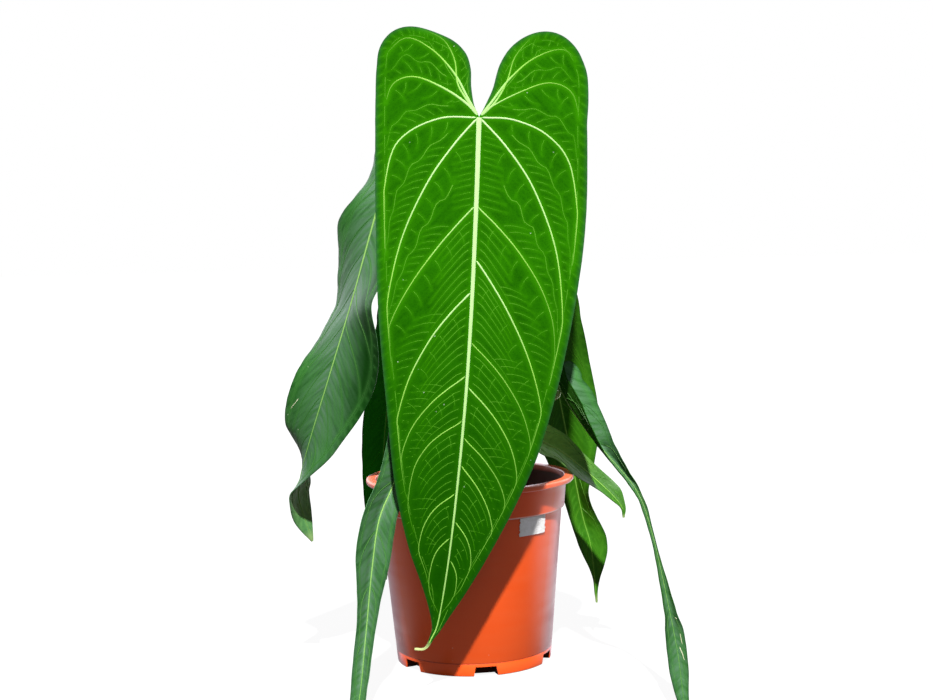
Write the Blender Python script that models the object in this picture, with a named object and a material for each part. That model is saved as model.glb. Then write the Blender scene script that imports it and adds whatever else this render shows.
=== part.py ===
"""A queen anthurium in its nursery pot: seven hanging leaves on stalks that rise from one short crown.

Sizes below are in millimetres and become metres where a mesh is made. +Z is up, the viewer stands at -Y,
and the origin lies under the middle of the pot's foot.
"""

import math
import random
from typing import NamedTuple

import bmesh
import bpy
from mathutils import Matrix, Vector
from mathutils.geometry import delaunay_2d_cdt

MM = 0.001
GAP = 0.3

# Pot: an 8 inch nursery pot
POT_HEIGHT = 177
LIP_RADIUS = 100
LIP_WIDTH = 9
LIP_DEPTH = 5
COLLAR_TOP_RADIUS = 92.8
COLLAR_FOOT_RADIUS = 90.6
COLLAR_FOOT_Z = 147
BODY_TOP_RADIUS = 88
SEAM_RADIUS = 75.5
SEAM_Z = 12
FOOT_RADIUS = 74.5
WALL = 2.4
FLOOR = 3
FLOOR_RING_INNER = 58
POT_SIDES = 48

# Drain notches round the foot
NOTCHES = 6
NOTCH_FIRST_DEG = 8
NOTCH_WIDTH = 28
NOTCH_THROAT = 21
NOTCH_HEIGHT = 9
NOTCH_DEPTH = 12
NOTCH_TAPER = 0.25

# Paper tape on the wall
TAPE_LENGTH = 32
TAPE_HEIGHT = 17
TAPE_THICKNESS = 0.5
TAPE_TOP_Z = 146.5
TAPE_AT_DEG = 41
TAPE_TEAR = 0.9

# Potting mix and crown
MIX_EDGE_Z = 142
MIX_MOUND = 5
MIX_LUMP = 1.6
MIX_SIDES = 32
MIX_RINGS = 5
CROWN_RADIUS = 17
CROWN_FOOT_Z = 112
CROWN_TOP_Z = 160
CROWN_SIDES = 28
SCAR_HEIGHTS = (147, 151)
SCAR_HALF_HEIGHT = 0.8
SCAR_DEPTH = 1.1
SOCKET_CIRCLE = 11.5
SOCKET_Z = 141
SOCKET_CLEARANCE = 0.6
SOCKET_STEP = 8
SOCKET_STEPS = 4
STALK_LEAVES_CROWN_Z = 164
STALK_LEAVES_CROWN_OUT = 13.5

# Stalks
STALK_BASE_RADIUS = 3.6
STALK_RADIUS = 2.9
STALK_JOINT_RADIUS = 3.9
STALK_POINTS = 18
STALK_POINTS_AT_ENDS = 0.09
STALK_MEETS_BLADE = 7
STALK_STRAIGHT_END = 14
STALK_STANDOFF = 2.6
STALK_THICKNESS = (
    (0, STALK_BASE_RADIUS),
    (0.25, STALK_RADIUS + 0.2),
    (0.5, STALK_RADIUS),
    (0.86, STALK_RADIUS),
    (0.95, STALK_JOINT_RADIUS),
    (1, STALK_JOINT_RADIUS - 0.5),
)

# Blades
BLADE_THICKNESS = 0.9
KEEL_SOFTNESS = 4
MARGIN_STEP = 12
MIDRIB_STEP = 16
VEIN_STEP = 15
VEIN_FOOT = 4.5
VEIN_POINTS = (0, 0.12, 0.3, 0.55, 0.8, 1)
FIRST_VEIN = 0.05
LAST_VEIN = 0.81
VEIN_REACH = 1.45
VEIN_LIMIT = 0.93
VEIN_STOP = 0.86
VEIN_BEND = 1.8
MIDRIB_START = 3
MIDRIB_STOP = 7
MIDRIB_HALF_WIDTH = 2.6
MIDRIB_TAPER = 0.72
MIDRIB_RISE = 0.9
MIDRIB_DROP = 1.7
VEIN_RISE = 0.45
MARGIN_PHASE = 1.3
TANGENT_REACH = 4
PATH_PIECES = 24
VIEWER = Vector((0, -1, 0.2))

POT_COLOUR = (0.72, 0.16, 0.055)
TAPE_COLOUR = (0.78, 0.76, 0.70)
MIX_COLOUR = (0.035, 0.022, 0.014)
CROWN_COLOUR = (0.16, 0.15, 0.05)
STALK_COLOUR = (0.22, 0.34, 0.07)
BLADE_COLOUR = (0.03, 0.22, 0.012)
SHADED_BLADE_COLOUR = (0.02, 0.11, 0.012)
YOUNG_BLADE_COLOUR = (0.10, 0.38, 0.03)
POT_ROUGHNESS = 0.42
TAPE_ROUGHNESS = 0.75
MIX_ROUGHNESS = 0.95
CROWN_ROUGHNESS = 0.7
STALK_ROUGHNESS = 0.5
BLADE_ROUGHNESS = 0.45


class Leaf(NamedTuple):
    """One leaf. Distances along the blade start at the stalk; shares run over the whole spine."""

    name: str
    colour: tuple
    spine: tuple  # the blade's middle line, from the level of the lobes' tops to the tip
    stalk_at: float  # how far along the spine the stalk meets the blade
    turn: tuple  # (share, degrees that the upper face turns to the viewer's left)
    fold: tuple  # (share, degrees that each half rises from the middle line)
    curl: float  # degrees more at the margin than at the middle line
    left: tuple  # (share of the blade from stalk to tip, half-width)
    right: tuple
    left_lobe: tuple  # the lobe's outline, from the notch between the lobes round to the margin
    right_lobe: tuple
    left_veins: tuple
    right_veins: tuple
    wave: float  # height of the margin's waves
    wave_length: float
    stalk: tuple  # the points that the stalk passes between the crown and the blade
    socket_deg: float


# A lobe on a blade whose half-width and lobe length are both 1
LOBE_SHAPE = (
    (0.05, -0.10), (0.11, -0.30), (0.16, -0.52), (0.22, -0.72), (0.36, -0.90), (0.56, -1.0),
    (0.76, -0.97), (0.91, -0.82), (0.99, -0.58), (1.01, -0.28),
)

# The same blade's veins in its base: one out to the side, one up into the lobe
BASE_VEIN = ((0.45, 0.02), (0.84, 0.16))
LOBE_VEIN = ((0.3, -0.45), (0.6, -0.84))

# The front blade's lobes, from the notch between them round to the margin
FRONT_LEFT_LOBE = (
    (5, -12), (8, -30), (9, -48), (15, -64), (30, -77), (60, -88), (81, -85), (94, -70), (97, -45),
)
FRONT_RIGHT_LOBE = (
    (4, -8), (12, -28), (18, -52), (30, -72), (50, -85), (70, -86), (88, -74), (99, -50), (101, -22),
)

# The front blade's veins that rise into its base, as points (distance from the midrib, below the stalk)
FRONT_LEFT_BASE_VEINS = (
    ((4, -5), (20, -30), (24, -55), (35, -75), (56, -86)),
    ((24, -42), (45, -65), (70, -77), (90, -60)),
    ((9, -10), (30, -25), (60, -38), (80, -32), (87, -12)),
    ((6, 1), (35, 3), (65, 18), (80, 42), (86, 100)),
)
FRONT_RIGHT_BASE_VEINS = (
    ((5, -4), (15, -15), (25, -35), (32, -60), (48, -82)),
    ((26, -36), (48, -58), (75, -70), (91, -60)),
    ((10, -9), (36, -24), (64, -35), (85, -27), (93, 0)),
    ((7, 1), (32, 3), (63, 17), (85, 46), (94, 108)),
)

# Its side veins: where they leave the midrib, how far out they reach, where they end, how soon they bend
FRONT_LEFT_SIDE_VEINS = (
    (5, 76, 205, 2.3), (90, 75, 215, 1.5), (170, 60, 310, 2.3), (245, 52, 325, 2.2),
    (285, 42, 355, 3), (350, 28, 405, 3.3), (390, 15, 425, 3.5),
)
FRONT_RIGHT_SIDE_VEINS = (
    (5, 82, 215, 2.6), (90, 76, 210, 1.8), (140, 70, 285, 1.6), (215, 62, 310, 1.9), (255, 52, 335, 2),
    (300, 44, 355, 1.8), (325, 36, 385, 2), (375, 20, 410, 2.5), (410, 10, 425, 2),
)


def blend(table, at):
    """The value at a place between rows (place, value), on a smooth curve through them."""
    if at <= table[0][0]:
        return table[0][1]
    if at >= table[-1][0]:
        return table[-1][1]
    last = len(table) - 1
    i = next(i for i in range(last) if at <= table[i + 1][0])
    (x0, y0), (x1, y1) = table[i], table[i + 1]
    (xa, ya), (xb, yb) = table[max(i - 1, 0)], table[min(i + 2, last)]
    step = x1 - x0
    slope0 = (y1 - ya) / (x1 - xa) * step
    slope1 = (yb - y0) / (xb - x0) * step
    t = (at - x0) / step
    return (
        y0 * (1 + 2 * t) * (1 - t) ** 2
        + slope0 * t * (1 - t) ** 2
        + y1 * t * t * (3 - 2 * t)
        + slope1 * t * t * (t - 1)
    )


def smooth_points(points, pieces):
    """Points along a Catmull-Rom curve through the given ones, with so many pieces between neighbours."""
    points = [Vector(p) for p in points]
    ends = [2 * points[0] - points[1], *points, 2 * points[-1] - points[-2]]
    found = []
    for a, b, c, d in zip(ends, ends[1:], ends[2:], ends[3:]):
        for i in range(pieces):
            t = i / pieces
            found.append(
                0.5
                * (
                    2 * b
                    + (c - a) * t
                    + (2 * a - 5 * b + 4 * c - d) * t * t
                    + (3 * b - a - 3 * c + d) * t**3
                )
            )
    found.append(points[-1])
    return found


class Path:
    """A smooth curve that is read by distance along it, and runs on straight past its ends."""

    def __init__(self, points):
        self.points = smooth_points(points, PATH_PIECES)
        self.marks = [0.0]
        for a, b in zip(self.points, self.points[1:]):
            self.marks.append(self.marks[-1] + (b - a).length)
        self.length = self.marks[-1]

    def at(self, distance):
        last = len(self.marks) - 2
        i = sum(1 for mark in self.marks[1:-1] if mark <= distance)
        i = min(max(i, 0), last)
        a, b = self.points[i], self.points[i + 1]
        return a + (b - a) * ((distance - self.marks[i]) / (self.marks[i + 1] - self.marks[i]))

    def direction(self, distance):
        return (self.at(distance + TANGENT_REACH) - self.at(distance - TANGENT_REACH)).normalized()

    def resampled(self, step):
        count = max(1, round(self.length / step))
        return [self.at(self.length * i / count) for i in range(count + 1)]


class Surface:
    """A leaf's curved middle surface, read by distance from the midrib (u) and below the stalk (s)."""

    def __init__(self, leaf):
        self.leaf = leaf
        self.path = Path(leaf.spine)
        self.length = self.path.length - leaf.stalk_at
        self.half_width = max(width for _, width in leaf.left + leaf.right)

    def axes(self, s):
        """The spine's point, the way down the blade, the way that the face looks, and the way to u."""
        along = self.leaf.stalk_at + s
        down = self.path.direction(along)
        face = VIEWER - down * VIEWER.dot(down)
        turn = math.radians(blend(self.leaf.turn, along / self.path.length))
        face = Matrix.Rotation(turn, 3, down) @ face.normalized()
        return self.path.at(along), down, face, face.cross(down)

    def section(self, s, away):
        """How far across and how far up a half of the blade reaches, so far out from the midrib."""
        along = (self.leaf.stalk_at + s) / self.path.length
        fold = math.radians(blend(self.leaf.fold, along))
        fold = fold if abs(fold) > 0.001 else 0.001
        curl = math.radians(self.leaf.curl or 0.1) / self.half_width
        keel = min(away, KEEL_SOFTNESS)
        bend = fold / KEEL_SOFTNESS
        across = math.sin(bend * keel) / bend
        rise = (1 - math.cos(bend * keel)) / bend
        rest = away - keel
        across += (math.sin(fold + curl * rest) - math.sin(fold)) / curl
        rise += (math.cos(fold) - math.cos(fold + curl * rest)) / curl
        return across, rise

    def point(self, u, s):
        middle, _, face, side = self.axes(s)
        across, rise = self.section(s, abs(u))
        phase = 2 * math.pi * s / self.leaf.wave_length + (MARGIN_PHASE if u > 0 else 0)
        rise += self.leaf.wave * (u / self.half_width) ** 2 * math.sin(phase)
        return middle + side * math.copysign(across, u) + face * rise

    def normal(self, u, s):
        step = 0.5
        over = self.point(u + step, s) - self.point(u - step, s)
        down = self.point(u, s + step) - self.point(u, s - step)
        return down.cross(over).normalized()


def lobe(width, length):
    return tuple((x * width, y * length) for x, y in LOBE_SHAPE)


def swept_vein(start, out, end, bend):
    """Points along a side vein that leaves the midrib, reaches out and turns towards the tip."""
    reach = out - VEIN_FOOT
    return tuple(
        (VEIN_FOOT + reach * (1 - (1 - share) ** bend), start + (end - start) * share)
        for share in VEIN_POINTS
    )


def side_veins(table, length, lobe_length, count):
    """Side veins at even steps down the blade, and one more out to the side and one up into the lobe."""
    veins = []
    for i in range(count):
        start = length * (FIRST_VEIN + (LAST_VEIN - FIRST_VEIN) * i / (count - 1))
        end = min(start + VEIN_REACH * blend(table, start / length), VEIN_LIMIT * length)
        veins.append(swept_vein(start, VEIN_STOP * blend(table, end / length), end, VEIN_BEND))
    width = table[0][1]
    veins.append(((VEIN_FOOT, 1), *((u * width, s * length) for u, s in BASE_VEIN)))
    veins.append(((VEIN_FOOT, -3), *((u * width, s * lobe_length) for u, s in LOBE_VEIN)))
    return tuple(veins)


def margin(leaf, length, side):
    """One side of the outline, from the notch between the lobes round the lobe and down to the tip."""
    table = leaf.right if side > 0 else leaf.left
    lobe_points = leaf.right_lobe if side > 0 else leaf.left_lobe
    shape = [(0, 0, 0), *((u, s, 0) for u, s in lobe_points)]
    steps = max(6, round(length / MARGIN_STEP))
    shape += [(blend(table, i / steps), length * i / steps, 0) for i in range(steps)]
    points = Path(shape[: len(lobe_points) + 2]).resampled(MARGIN_STEP * 0.8)[1:-1]
    points += [Vector(p) for p in shape[len(lobe_points) + 1 :]]
    return [(side * p.x, p.y) for p in points]


def flat_blade(leaf, length):
    """The blade's flat pattern: points, triangles, and how far each point stands up and hangs down."""
    right = margin(leaf, length, 1)
    left = margin(leaf, length, -1)
    points = [(0, 0), *right, (0, length), *reversed(left)]
    outline = list(range(len(points)))
    rises = {}
    edges = []

    def add_line(line, rise, drop):
        first = len(points)
        points.extend(line)
        edges.extend((i, i + 1) for i in range(first, len(points) - 1))
        for i in range(first, len(points)):
            taper = 1 - MIDRIB_TAPER * max(points[i][1], 0) / length
            rises[i] = (rise * taper, drop * taper)

    steps = round(length / MIDRIB_STEP)
    stations = [MIDRIB_START + (length - MIDRIB_START - MIDRIB_STOP) * i / steps for i in range(steps + 1)]
    add_line([(0, s) for s in stations], MIDRIB_RISE, MIDRIB_DROP)
    for side in (-1, 1):
        feet = [(side * MIDRIB_HALF_WIDTH * (1 - MIDRIB_TAPER * s / length), s) for s in stations[:-1]]
        add_line(feet, 0, 0)
    for side, veins in ((-1, leaf.left_veins), (1, leaf.right_veins)):
        for vein in veins:
            line = Path([(side * u, s, 0) for u, s in vein]).resampled(VEIN_STEP)
            add_line([(p.x, p.y) for p in line], VEIN_RISE, VEIN_RISE)

    found, _, triangles, origins, _, _ = delaunay_2d_cdt(
        [Vector(p) for p in points], edges, [outline], 1, 0.01
    )
    lifts = []
    for sources in origins:
        lifts.append(max((rises.get(i, (0, 0)) for i in sources), default=(0, 0)))
    return found, triangles, lifts


def new_object(name, mesh, colour, roughness):
    material = bpy.data.materials.new(name)
    material.use_nodes = True
    shader = material.node_tree.nodes["Principled BSDF"]
    shader.inputs["Base Color"].default_value = (*colour, 1)
    shader.inputs["Roughness"].default_value = roughness
    shader.inputs["Metallic"].default_value = 0
    mesh.materials.append(material)
    obj = bpy.data.objects.new(name, mesh)
    bpy.context.scene.collection.objects.link(obj)
    return obj


def finished_mesh(bm, name, smooth_deg=40):
    """The bmesh as a mesh in metres, with its faces pointing out."""
    bmesh.ops.recalc_face_normals(bm, faces=bm.faces)
    bmesh.ops.scale(bm, vec=(MM, MM, MM), verts=bm.verts)
    mesh = bpy.data.meshes.new(name)
    bm.to_mesh(mesh)
    bm.free()
    mesh.shade_smooth()
    mesh.set_sharp_from_angle(angle=math.radians(smooth_deg))
    return mesh


def add_blade(leaf):
    """The blade as one closed skin, with both faces split into the same triangles."""
    surface = Surface(leaf)
    flat, triangles, lifts = flat_blade(leaf, surface.length)
    bm = bmesh.new()
    upper, under = [], []
    for (u, s), (rise, drop) in zip(flat, lifts):
        middle, normal = surface.point(u, s), surface.normal(u, s)
        upper.append(bm.verts.new(middle + normal * (BLADE_THICKNESS / 2 + rise)))
        under.append(bm.verts.new(middle - normal * (BLADE_THICKNESS / 2 + drop)))
    for a, b, c in triangles:
        bm.faces.new((upper[c], upper[b], upper[a]))
        bm.faces.new((under[a], under[b], under[c]))
    bmesh.ops.bridge_loops(bm, edges=[e for e in bm.edges if e.is_boundary])
    return new_object("leaf_" + leaf.name, finished_mesh(bm, leaf.name), leaf.colour, BLADE_ROUGHNESS)


def stalk_path(leaf):
    """From the leaf's socket in the crown to the underside of the blade, which it meets square on."""
    surface = Surface(leaf)
    meets = surface.point(0, STALK_MEETS_BLADE)
    face = surface.normal(0, STALK_MEETS_BLADE)
    angle = math.radians(leaf.socket_deg)
    out = Vector((math.cos(angle), math.sin(angle), 0))
    foot = out * SOCKET_CIRCLE + Vector((0, 0, SOCKET_Z))
    leaves_crown = out * STALK_LEAVES_CROWN_OUT + Vector((0, 0, STALK_LEAVES_CROWN_Z))
    end = meets - face * STALK_STANDOFF
    return Path((foot, leaves_crown, *leaf.stalk, end - face * STALK_STRAIGHT_END, end))


def tube(name, centres, radii, colour):
    curve = bpy.data.curves.new(name, "CURVE")
    curve.dimensions = "3D"
    curve.bevel_depth = MM
    curve.bevel_resolution = 2
    curve.use_fill_caps = True
    spline = curve.splines.new("POLY")
    spline.points.add(len(centres) - 1)
    for point, centre, radius in zip(spline.points, centres, radii):
        point.co = (*(centre * MM), 1)
        point.radius = radius
    return new_object(name, curve, colour, STALK_ROUGHNESS)


def add_stalk(leaf):
    """A stalk, thick where it sheathes the crown, slim, then swollen at the joint below the blade."""
    path = stalk_path(leaf)
    shares = [i / (STALK_POINTS - 1) for i in range(STALK_POINTS)]
    shares = [share - STALK_POINTS_AT_ENDS * math.sin(2 * math.pi * share) for share in shares]
    centres = [path.at(path.length * share) for share in shares]
    radii = [blend(STALK_THICKNESS, share) for share in shares]
    return tube("stalk_" + leaf.name, centres, radii, STALK_COLOUR)


def spun(profile, sides):
    """A closed skin of revolution from points (radius, height) that start and end on the axis."""
    bm = bmesh.new()
    verts = [bm.verts.new((radius, 0, z)) for radius, z in profile]
    edges = [bm.edges.new(pair) for pair in zip(verts, verts[1:])]
    bmesh.ops.spin(
        bm,
        geom=verts + edges,
        cent=(0, 0, 0),
        axis=(0, 0, 1),
        angle=2 * math.pi,
        steps=sides,
        use_merge=True,
        use_normal_flip=False,
        use_duplicate=False,
        dvec=(0, 0, 0),
    )
    bmesh.ops.remove_doubles(bm, verts=bm.verts, dist=0.001)
    return bm


def wall_radius(z):
    return blend(((0, FOOT_RADIUS), (SEAM_Z, SEAM_RADIUS), (COLLAR_FOOT_Z, BODY_TOP_RADIUS)), z)


def as_cutter(obj):
    obj.hide_render = True
    obj.display_type = "WIRE"
    return obj


def cut(obj, cutter):
    modifier = obj.modifiers.new("cut_" + cutter.name, "BOOLEAN")
    modifier.operation = "DIFFERENCE"
    modifier.object = cutter


def notch_cutter():
    """Wedge-sided pockets that break out through the foot and the wall."""
    bm = bmesh.new()
    inner, outer = FOOT_RADIUS - NOTCH_DEPTH, FOOT_RADIUS + 6
    for i in range(NOTCHES):
        angle = math.radians(NOTCH_FIRST_DEG - 90 + 360 * i / NOTCHES)
        out = Vector((math.cos(angle), math.sin(angle), 0))
        side = Vector((-out.y, out.x, 0))
        corners = [
            out * inner - side * NOTCH_THROAT / 2,
            out * outer - side * NOTCH_WIDTH / 2,
            out * outer + side * NOTCH_WIDTH / 2,
            out * inner + side * NOTCH_THROAT / 2,
        ]
        face = bm.faces.new([bm.verts.new(c - Vector((0, 0, 5))) for c in corners])
        grown = bmesh.ops.extrude_face_region(bm, geom=[face])["geom"]
        top = [v for v in grown if isinstance(v, bmesh.types.BMVert)]
        for vert in top:
            vert.co += Vector((0, 0, NOTCH_HEIGHT + 5)) - side * vert.co.dot(side) * NOTCH_TAPER
    mesh = finished_mesh(bm, "notch_cutter")
    return as_cutter(new_object("notch_cutter", mesh, POT_COLOUR, POT_ROUGHNESS))


def add_pot():
    """The lip turns out over a collar, and the floor has a thick ring that the drain notches are cut in."""
    lip_z = POT_HEIGHT - LIP_DEPTH
    profile = [
        (0, 0),
        (FOOT_RADIUS, 0),
        (SEAM_RADIUS, SEAM_Z),
        (BODY_TOP_RADIUS, COLLAR_FOOT_Z),
        (COLLAR_FOOT_RADIUS, COLLAR_FOOT_Z + 0.6),
        (COLLAR_TOP_RADIUS, lip_z),
        (LIP_RADIUS - 0.8, lip_z),
        (LIP_RADIUS, lip_z + 1.2),
        (LIP_RADIUS, POT_HEIGHT - 1.5),
        (LIP_RADIUS - 1.5, POT_HEIGHT),
        (LIP_RADIUS - LIP_WIDTH + 1, POT_HEIGHT),
        (LIP_RADIUS - LIP_WIDTH, POT_HEIGHT - 1.5),
        (COLLAR_FOOT_RADIUS - WALL, COLLAR_FOOT_Z),
        (BODY_TOP_RADIUS - WALL, COLLAR_FOOT_Z - 1.5),
        (SEAM_RADIUS - WALL, SEAM_Z + 1),
        (FLOOR_RING_INNER + 2, SEAM_Z),
        (FLOOR_RING_INNER, FLOOR),
        (0, FLOOR),
    ]
    mesh = finished_mesh(spun(profile, POT_SIDES), "pot", 30)
    pot = new_object("pot", mesh, POT_COLOUR, POT_ROUGHNESS)
    cut(pot, notch_cutter())


def add_potting_mix():
    """The mix fills the pot, is mounded and lumpy on top, and has a plain hole for the crown."""
    hole = CROWN_RADIUS + GAP
    profile = [
        (0, FLOOR + GAP),
        (FLOOR_RING_INNER - GAP, FLOOR + GAP),
        (FLOOR_RING_INNER + 2 - GAP, SEAM_Z + GAP),
        (SEAM_RADIUS - WALL - 2 * GAP, SEAM_Z + 1 + GAP),
        (wall_radius(MIX_EDGE_Z) - WALL - 2 * GAP, MIX_EDGE_Z),
    ]
    for i in range(1, MIX_RINGS + 1):
        share = i / MIX_RINGS
        radius = profile[4][0] * (1 - share) + hole * share
        profile.append((radius, MIX_EDGE_Z + MIX_MOUND * math.sin(share * math.pi / 2)))
    profile += [(hole, CROWN_FOOT_Z - GAP), (0, CROWN_FOOT_Z - GAP)]
    bm = spun(profile, MIX_SIDES)
    rng = random.Random(11)
    for vert in bm.verts:
        radius = math.hypot(vert.co.x, vert.co.y)
        if vert.co.z > MIX_EDGE_Z - 1 and radius > hole + 1:
            vert.co.z += rng.uniform(-MIX_LUMP, MIX_LUMP)
    new_object("potting_mix", finished_mesh(bm, "potting_mix"), MIX_COLOUR, MIX_ROUGHNESS)


def add_crown(leaves):
    """A stubby stem, ringed by old leaf scars, with a socket for each stalk."""
    profile = [(0, CROWN_FOOT_Z), (CROWN_RADIUS - 2, CROWN_FOOT_Z), (CROWN_RADIUS, CROWN_FOOT_Z + 3)]
    for z in SCAR_HEIGHTS:
        profile += [
            (CROWN_RADIUS, z - SCAR_HALF_HEIGHT),
            (CROWN_RADIUS - SCAR_DEPTH, z),
            (CROWN_RADIUS, z + SCAR_HALF_HEIGHT),
        ]
    profile += [(CROWN_RADIUS - 0.6, CROWN_TOP_Z - 4), (CROWN_RADIUS - 4, CROWN_TOP_Z - 1), (0, CROWN_TOP_Z)]
    mesh = finished_mesh(spun(profile, CROWN_SIDES), "crown")
    crown = new_object("crown", mesh, CROWN_COLOUR, CROWN_ROUGHNESS)
    for leaf in leaves:
        path = stalk_path(leaf)
        centres = [path.at(-GAP), *(path.at(SOCKET_STEP * (i + 1)) for i in range(SOCKET_STEPS))]
        radii = [STALK_BASE_RADIUS + SOCKET_CLEARANCE] * len(centres)
        guide = tube("guide_" + leaf.name, centres, radii, CROWN_COLOUR)
        evaluated = guide.evaluated_get(bpy.context.evaluated_depsgraph_get())
        mesh = bpy.data.meshes.new_from_object(evaluated)
        bpy.data.objects.remove(guide)
        bm = bmesh.new()
        bm.from_mesh(mesh)
        bmesh.ops.remove_doubles(bm, verts=bm.verts, dist=1e-6)
        bm.to_mesh(mesh)
        bm.free()
        cut(crown, as_cutter(new_object("socket_" + leaf.name, mesh, CROWN_COLOUR, CROWN_ROUGHNESS)))


def add_label():
    """A bare strip of paper tape, cut straight above and below and torn at both ends."""
    bm = bmesh.new()
    bmesh.ops.create_grid(bm, x_segments=8, y_segments=4, size=1)
    rng = random.Random(5)
    for vert in sorted(bm.verts, key=lambda v: (round(v.co.x, 3), round(v.co.y, 3))):
        at_end = abs(vert.co.x) > 0.99
        length = TAPE_LENGTH / 2 * vert.co.x + (rng.uniform(-TAPE_TEAR, TAPE_TEAR) if at_end else 0)
        z = TAPE_TOP_Z - TAPE_HEIGHT * (1 - vert.co.y) / 2
        radius = wall_radius(z) + GAP + 0.05
        angle = math.radians(TAPE_AT_DEG - 90) + length / radius
        vert.co = (radius * math.cos(angle), radius * math.sin(angle), z)
    bmesh.ops.recalc_face_normals(bm, faces=bm.faces)
    inner = list(bm.faces)
    grown = bmesh.ops.extrude_face_region(bm, geom=inner)["geom"]
    for vert in grown:
        if isinstance(vert, bmesh.types.BMVert):
            out = Vector((vert.co.x, vert.co.y, 0)).normalized()
            vert.co += out * TAPE_THICKNESS
    new_object("label", finished_mesh(bm, "label"), TAPE_COLOUR, TAPE_ROUGHNESS)


def front_leaf():
    return Leaf(
        name="front",
        colour=BLADE_COLOUR,
        spine=(
            (22, -22, 603), (12, -75, 430), (0, -108, 280), (-16, -120, 150), (-30, -120, 70),
            (-38, -122, 49), (-44, -124, 41), (-53, -125, 41),
        ),
        stalk_at=92,
        turn=((0, 0), (1, 0)),
        fold=((0, 5), (0.3, 6), (0.8, 8), (1, 15)),
        curl=-16,
        left=(
            (0, 96), (0.2, 91), (0.4, 82), (0.6, 65), (0.7, 54), (0.8, 37), (0.88, 17), (0.93, 6), (0.96, 2),
            (1, 1),
        ),
        right=(
            (0, 100), (0.2, 100), (0.4, 89), (0.6, 70), (0.7, 54), (0.8, 34), (0.88, 17), (0.93, 6),
            (0.96, 2), (1, 1),
        ),
        left_lobe=FRONT_LEFT_LOBE,
        right_lobe=FRONT_RIGHT_LOBE,
        left_veins=FRONT_LEFT_BASE_VEINS + tuple(swept_vein(*vein) for vein in FRONT_LEFT_SIDE_VEINS),
        right_veins=FRONT_RIGHT_BASE_VEINS + tuple(swept_vein(*vein) for vein in FRONT_RIGHT_SIDE_VEINS),
        wave=1.5,
        wave_length=150,
        stalk=((3, -20, 220), (8, -14, 330), (13, -8, 430), (15, -12, 482)),
        socket_deg=270,
    )


def left_leaf():
    width = (
        (0, 38), (0.1, 44), (0.3, 47), (0.48, 48), (0.55, 46), (0.6, 42), (0.65, 37), (0.7, 31), (0.75, 26),
        (0.8, 21), (0.85, 21), (0.9, 18), (0.95, 11), (1, 1),
    )
    return Leaf(
        name="left",
        colour=BLADE_COLOUR,
        spine=(
            (-55, 8, 520), (-68, 2, 475), (-84, -12, 425), (-106, -25, 350), (-129, -34, 280),
            (-149, -36, 220), (-161, -28, 180), (-163, -25, 160), (-152, -20, 120),
        ),
        stalk_at=46,
        turn=(
            (0, 40), (0.13, 40), (0.2, 25), (0.27, 30), (0.37, 55), (0.44, 64), (0.5, 50), (0.62, 22),
            (0.7, 20), (0.76, 30), (0.81, 62), (0.87, 105), (0.94, 130), (1, 140),
        ),
        fold=((0, -10), (0.25, -10), (0.44, 2), (0.56, -12), (0.75, -12), (0.87, -5), (1, 0)),
        curl=-8,
        left=(
            (0, 33), (0.06, 33), (0.1, 36), (0.14, 46), (0.17, 50), (0.22, 48), (0.3, 46), (0.45, 46),
            (0.52, 43), (0.6, 43), (0.66, 44), (0.7, 42), (0.8, 30), (0.9, 16), (1, 1),
        ),
        right=width,
        left_lobe=lobe(38, 48),
        right_lobe=lobe(38, 48),
        left_veins=side_veins(width, 379, 48, 9),
        right_veins=side_veins(width, 379, 48, 9),
        wave=2,
        wave_length=95,
        stalk=((-22, 8, 220), (-40, 18, 330), (-50, 22, 430), (-54, 24, 458)),
        socket_deg=167,
    )


def front_left_leaf():
    width = ((0, 20), (0.15, 20), (0.25, 18), (0.35, 20), (0.45, 18), (0.55, 12), (0.7, 9), (0.8, 6), (1, 1))
    return Leaf(
        name="front_left",
        colour=BLADE_COLOUR,
        spine=(
            (-47, -40, 262), (-66, -84, 192), (-82, -105, 155), (-89, -124, 112), (-94, -150, 62),
            (-98, -190, 18), (-102, -220, 8), (-105, -256, 7),
        ),
        stalk_at=30,
        turn=((0, 0), (0.4, -6), (0.6, -4), (0.8, 12), (0.9, 0), (1, 0)),
        fold=((0, 30), (0.2, 44), (0.6, 48), (0.75, 40), (0.85, 20), (1, 15)),
        curl=-10,
        left=(
            (0, 20), (0.15, 20), (0.3, 20), (0.4, 22), (0.46, 19), (0.52, 14), (0.6, 11), (0.7, 10), (0.8, 8),
            (0.9, 5), (1, 1),
        ),
        right=width,
        left_lobe=lobe(20, 24),
        right_lobe=lobe(20, 24),
        left_veins=side_veins(width, 330, 24, 6),
        right_veins=side_veins(width, 330, 24, 6),
        wave=1.2,
        wave_length=80,
        stalk=((-22, -20, 190), (-34, -30, 218)),
        socket_deg=218.5,
    )


def back_left_leaf():
    width = ((0, 24), (0.15, 27), (0.4, 29), (0.6, 27), (0.75, 20), (0.87, 11), (0.94, 5), (1, 1))
    return Leaf(
        name="back_left",
        colour=SHADED_BLADE_COLOUR,
        spine=((-65, 44, 347), (-78, 82, 264), (-86, 102, 210), (-90, 108, 158), (-90, 100, 55)),
        stalk_at=37,
        turn=((0, 35), (0.5, 30), (1, 25)),
        fold=((0, 10), (0.5, 15), (1, 20)),
        curl=-18,
        left=((0, 24), (0.15, 26), (0.4, 26), (0.6, 24), (0.75, 19), (0.87, 11), (0.94, 5), (1, 1)),
        right=width,
        left_lobe=lobe(26, 32),
        right_lobe=lobe(26, 32),
        left_veins=side_veins(width, 272, 32, 6),
        right_veins=side_veins(width, 272, 32, 6),
        wave=1.8,
        wave_length=90,
        stalk=((-16, 28, 210), (-36, 56, 270), (-50, 72, 296)),
        socket_deg=116,
    )


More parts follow.
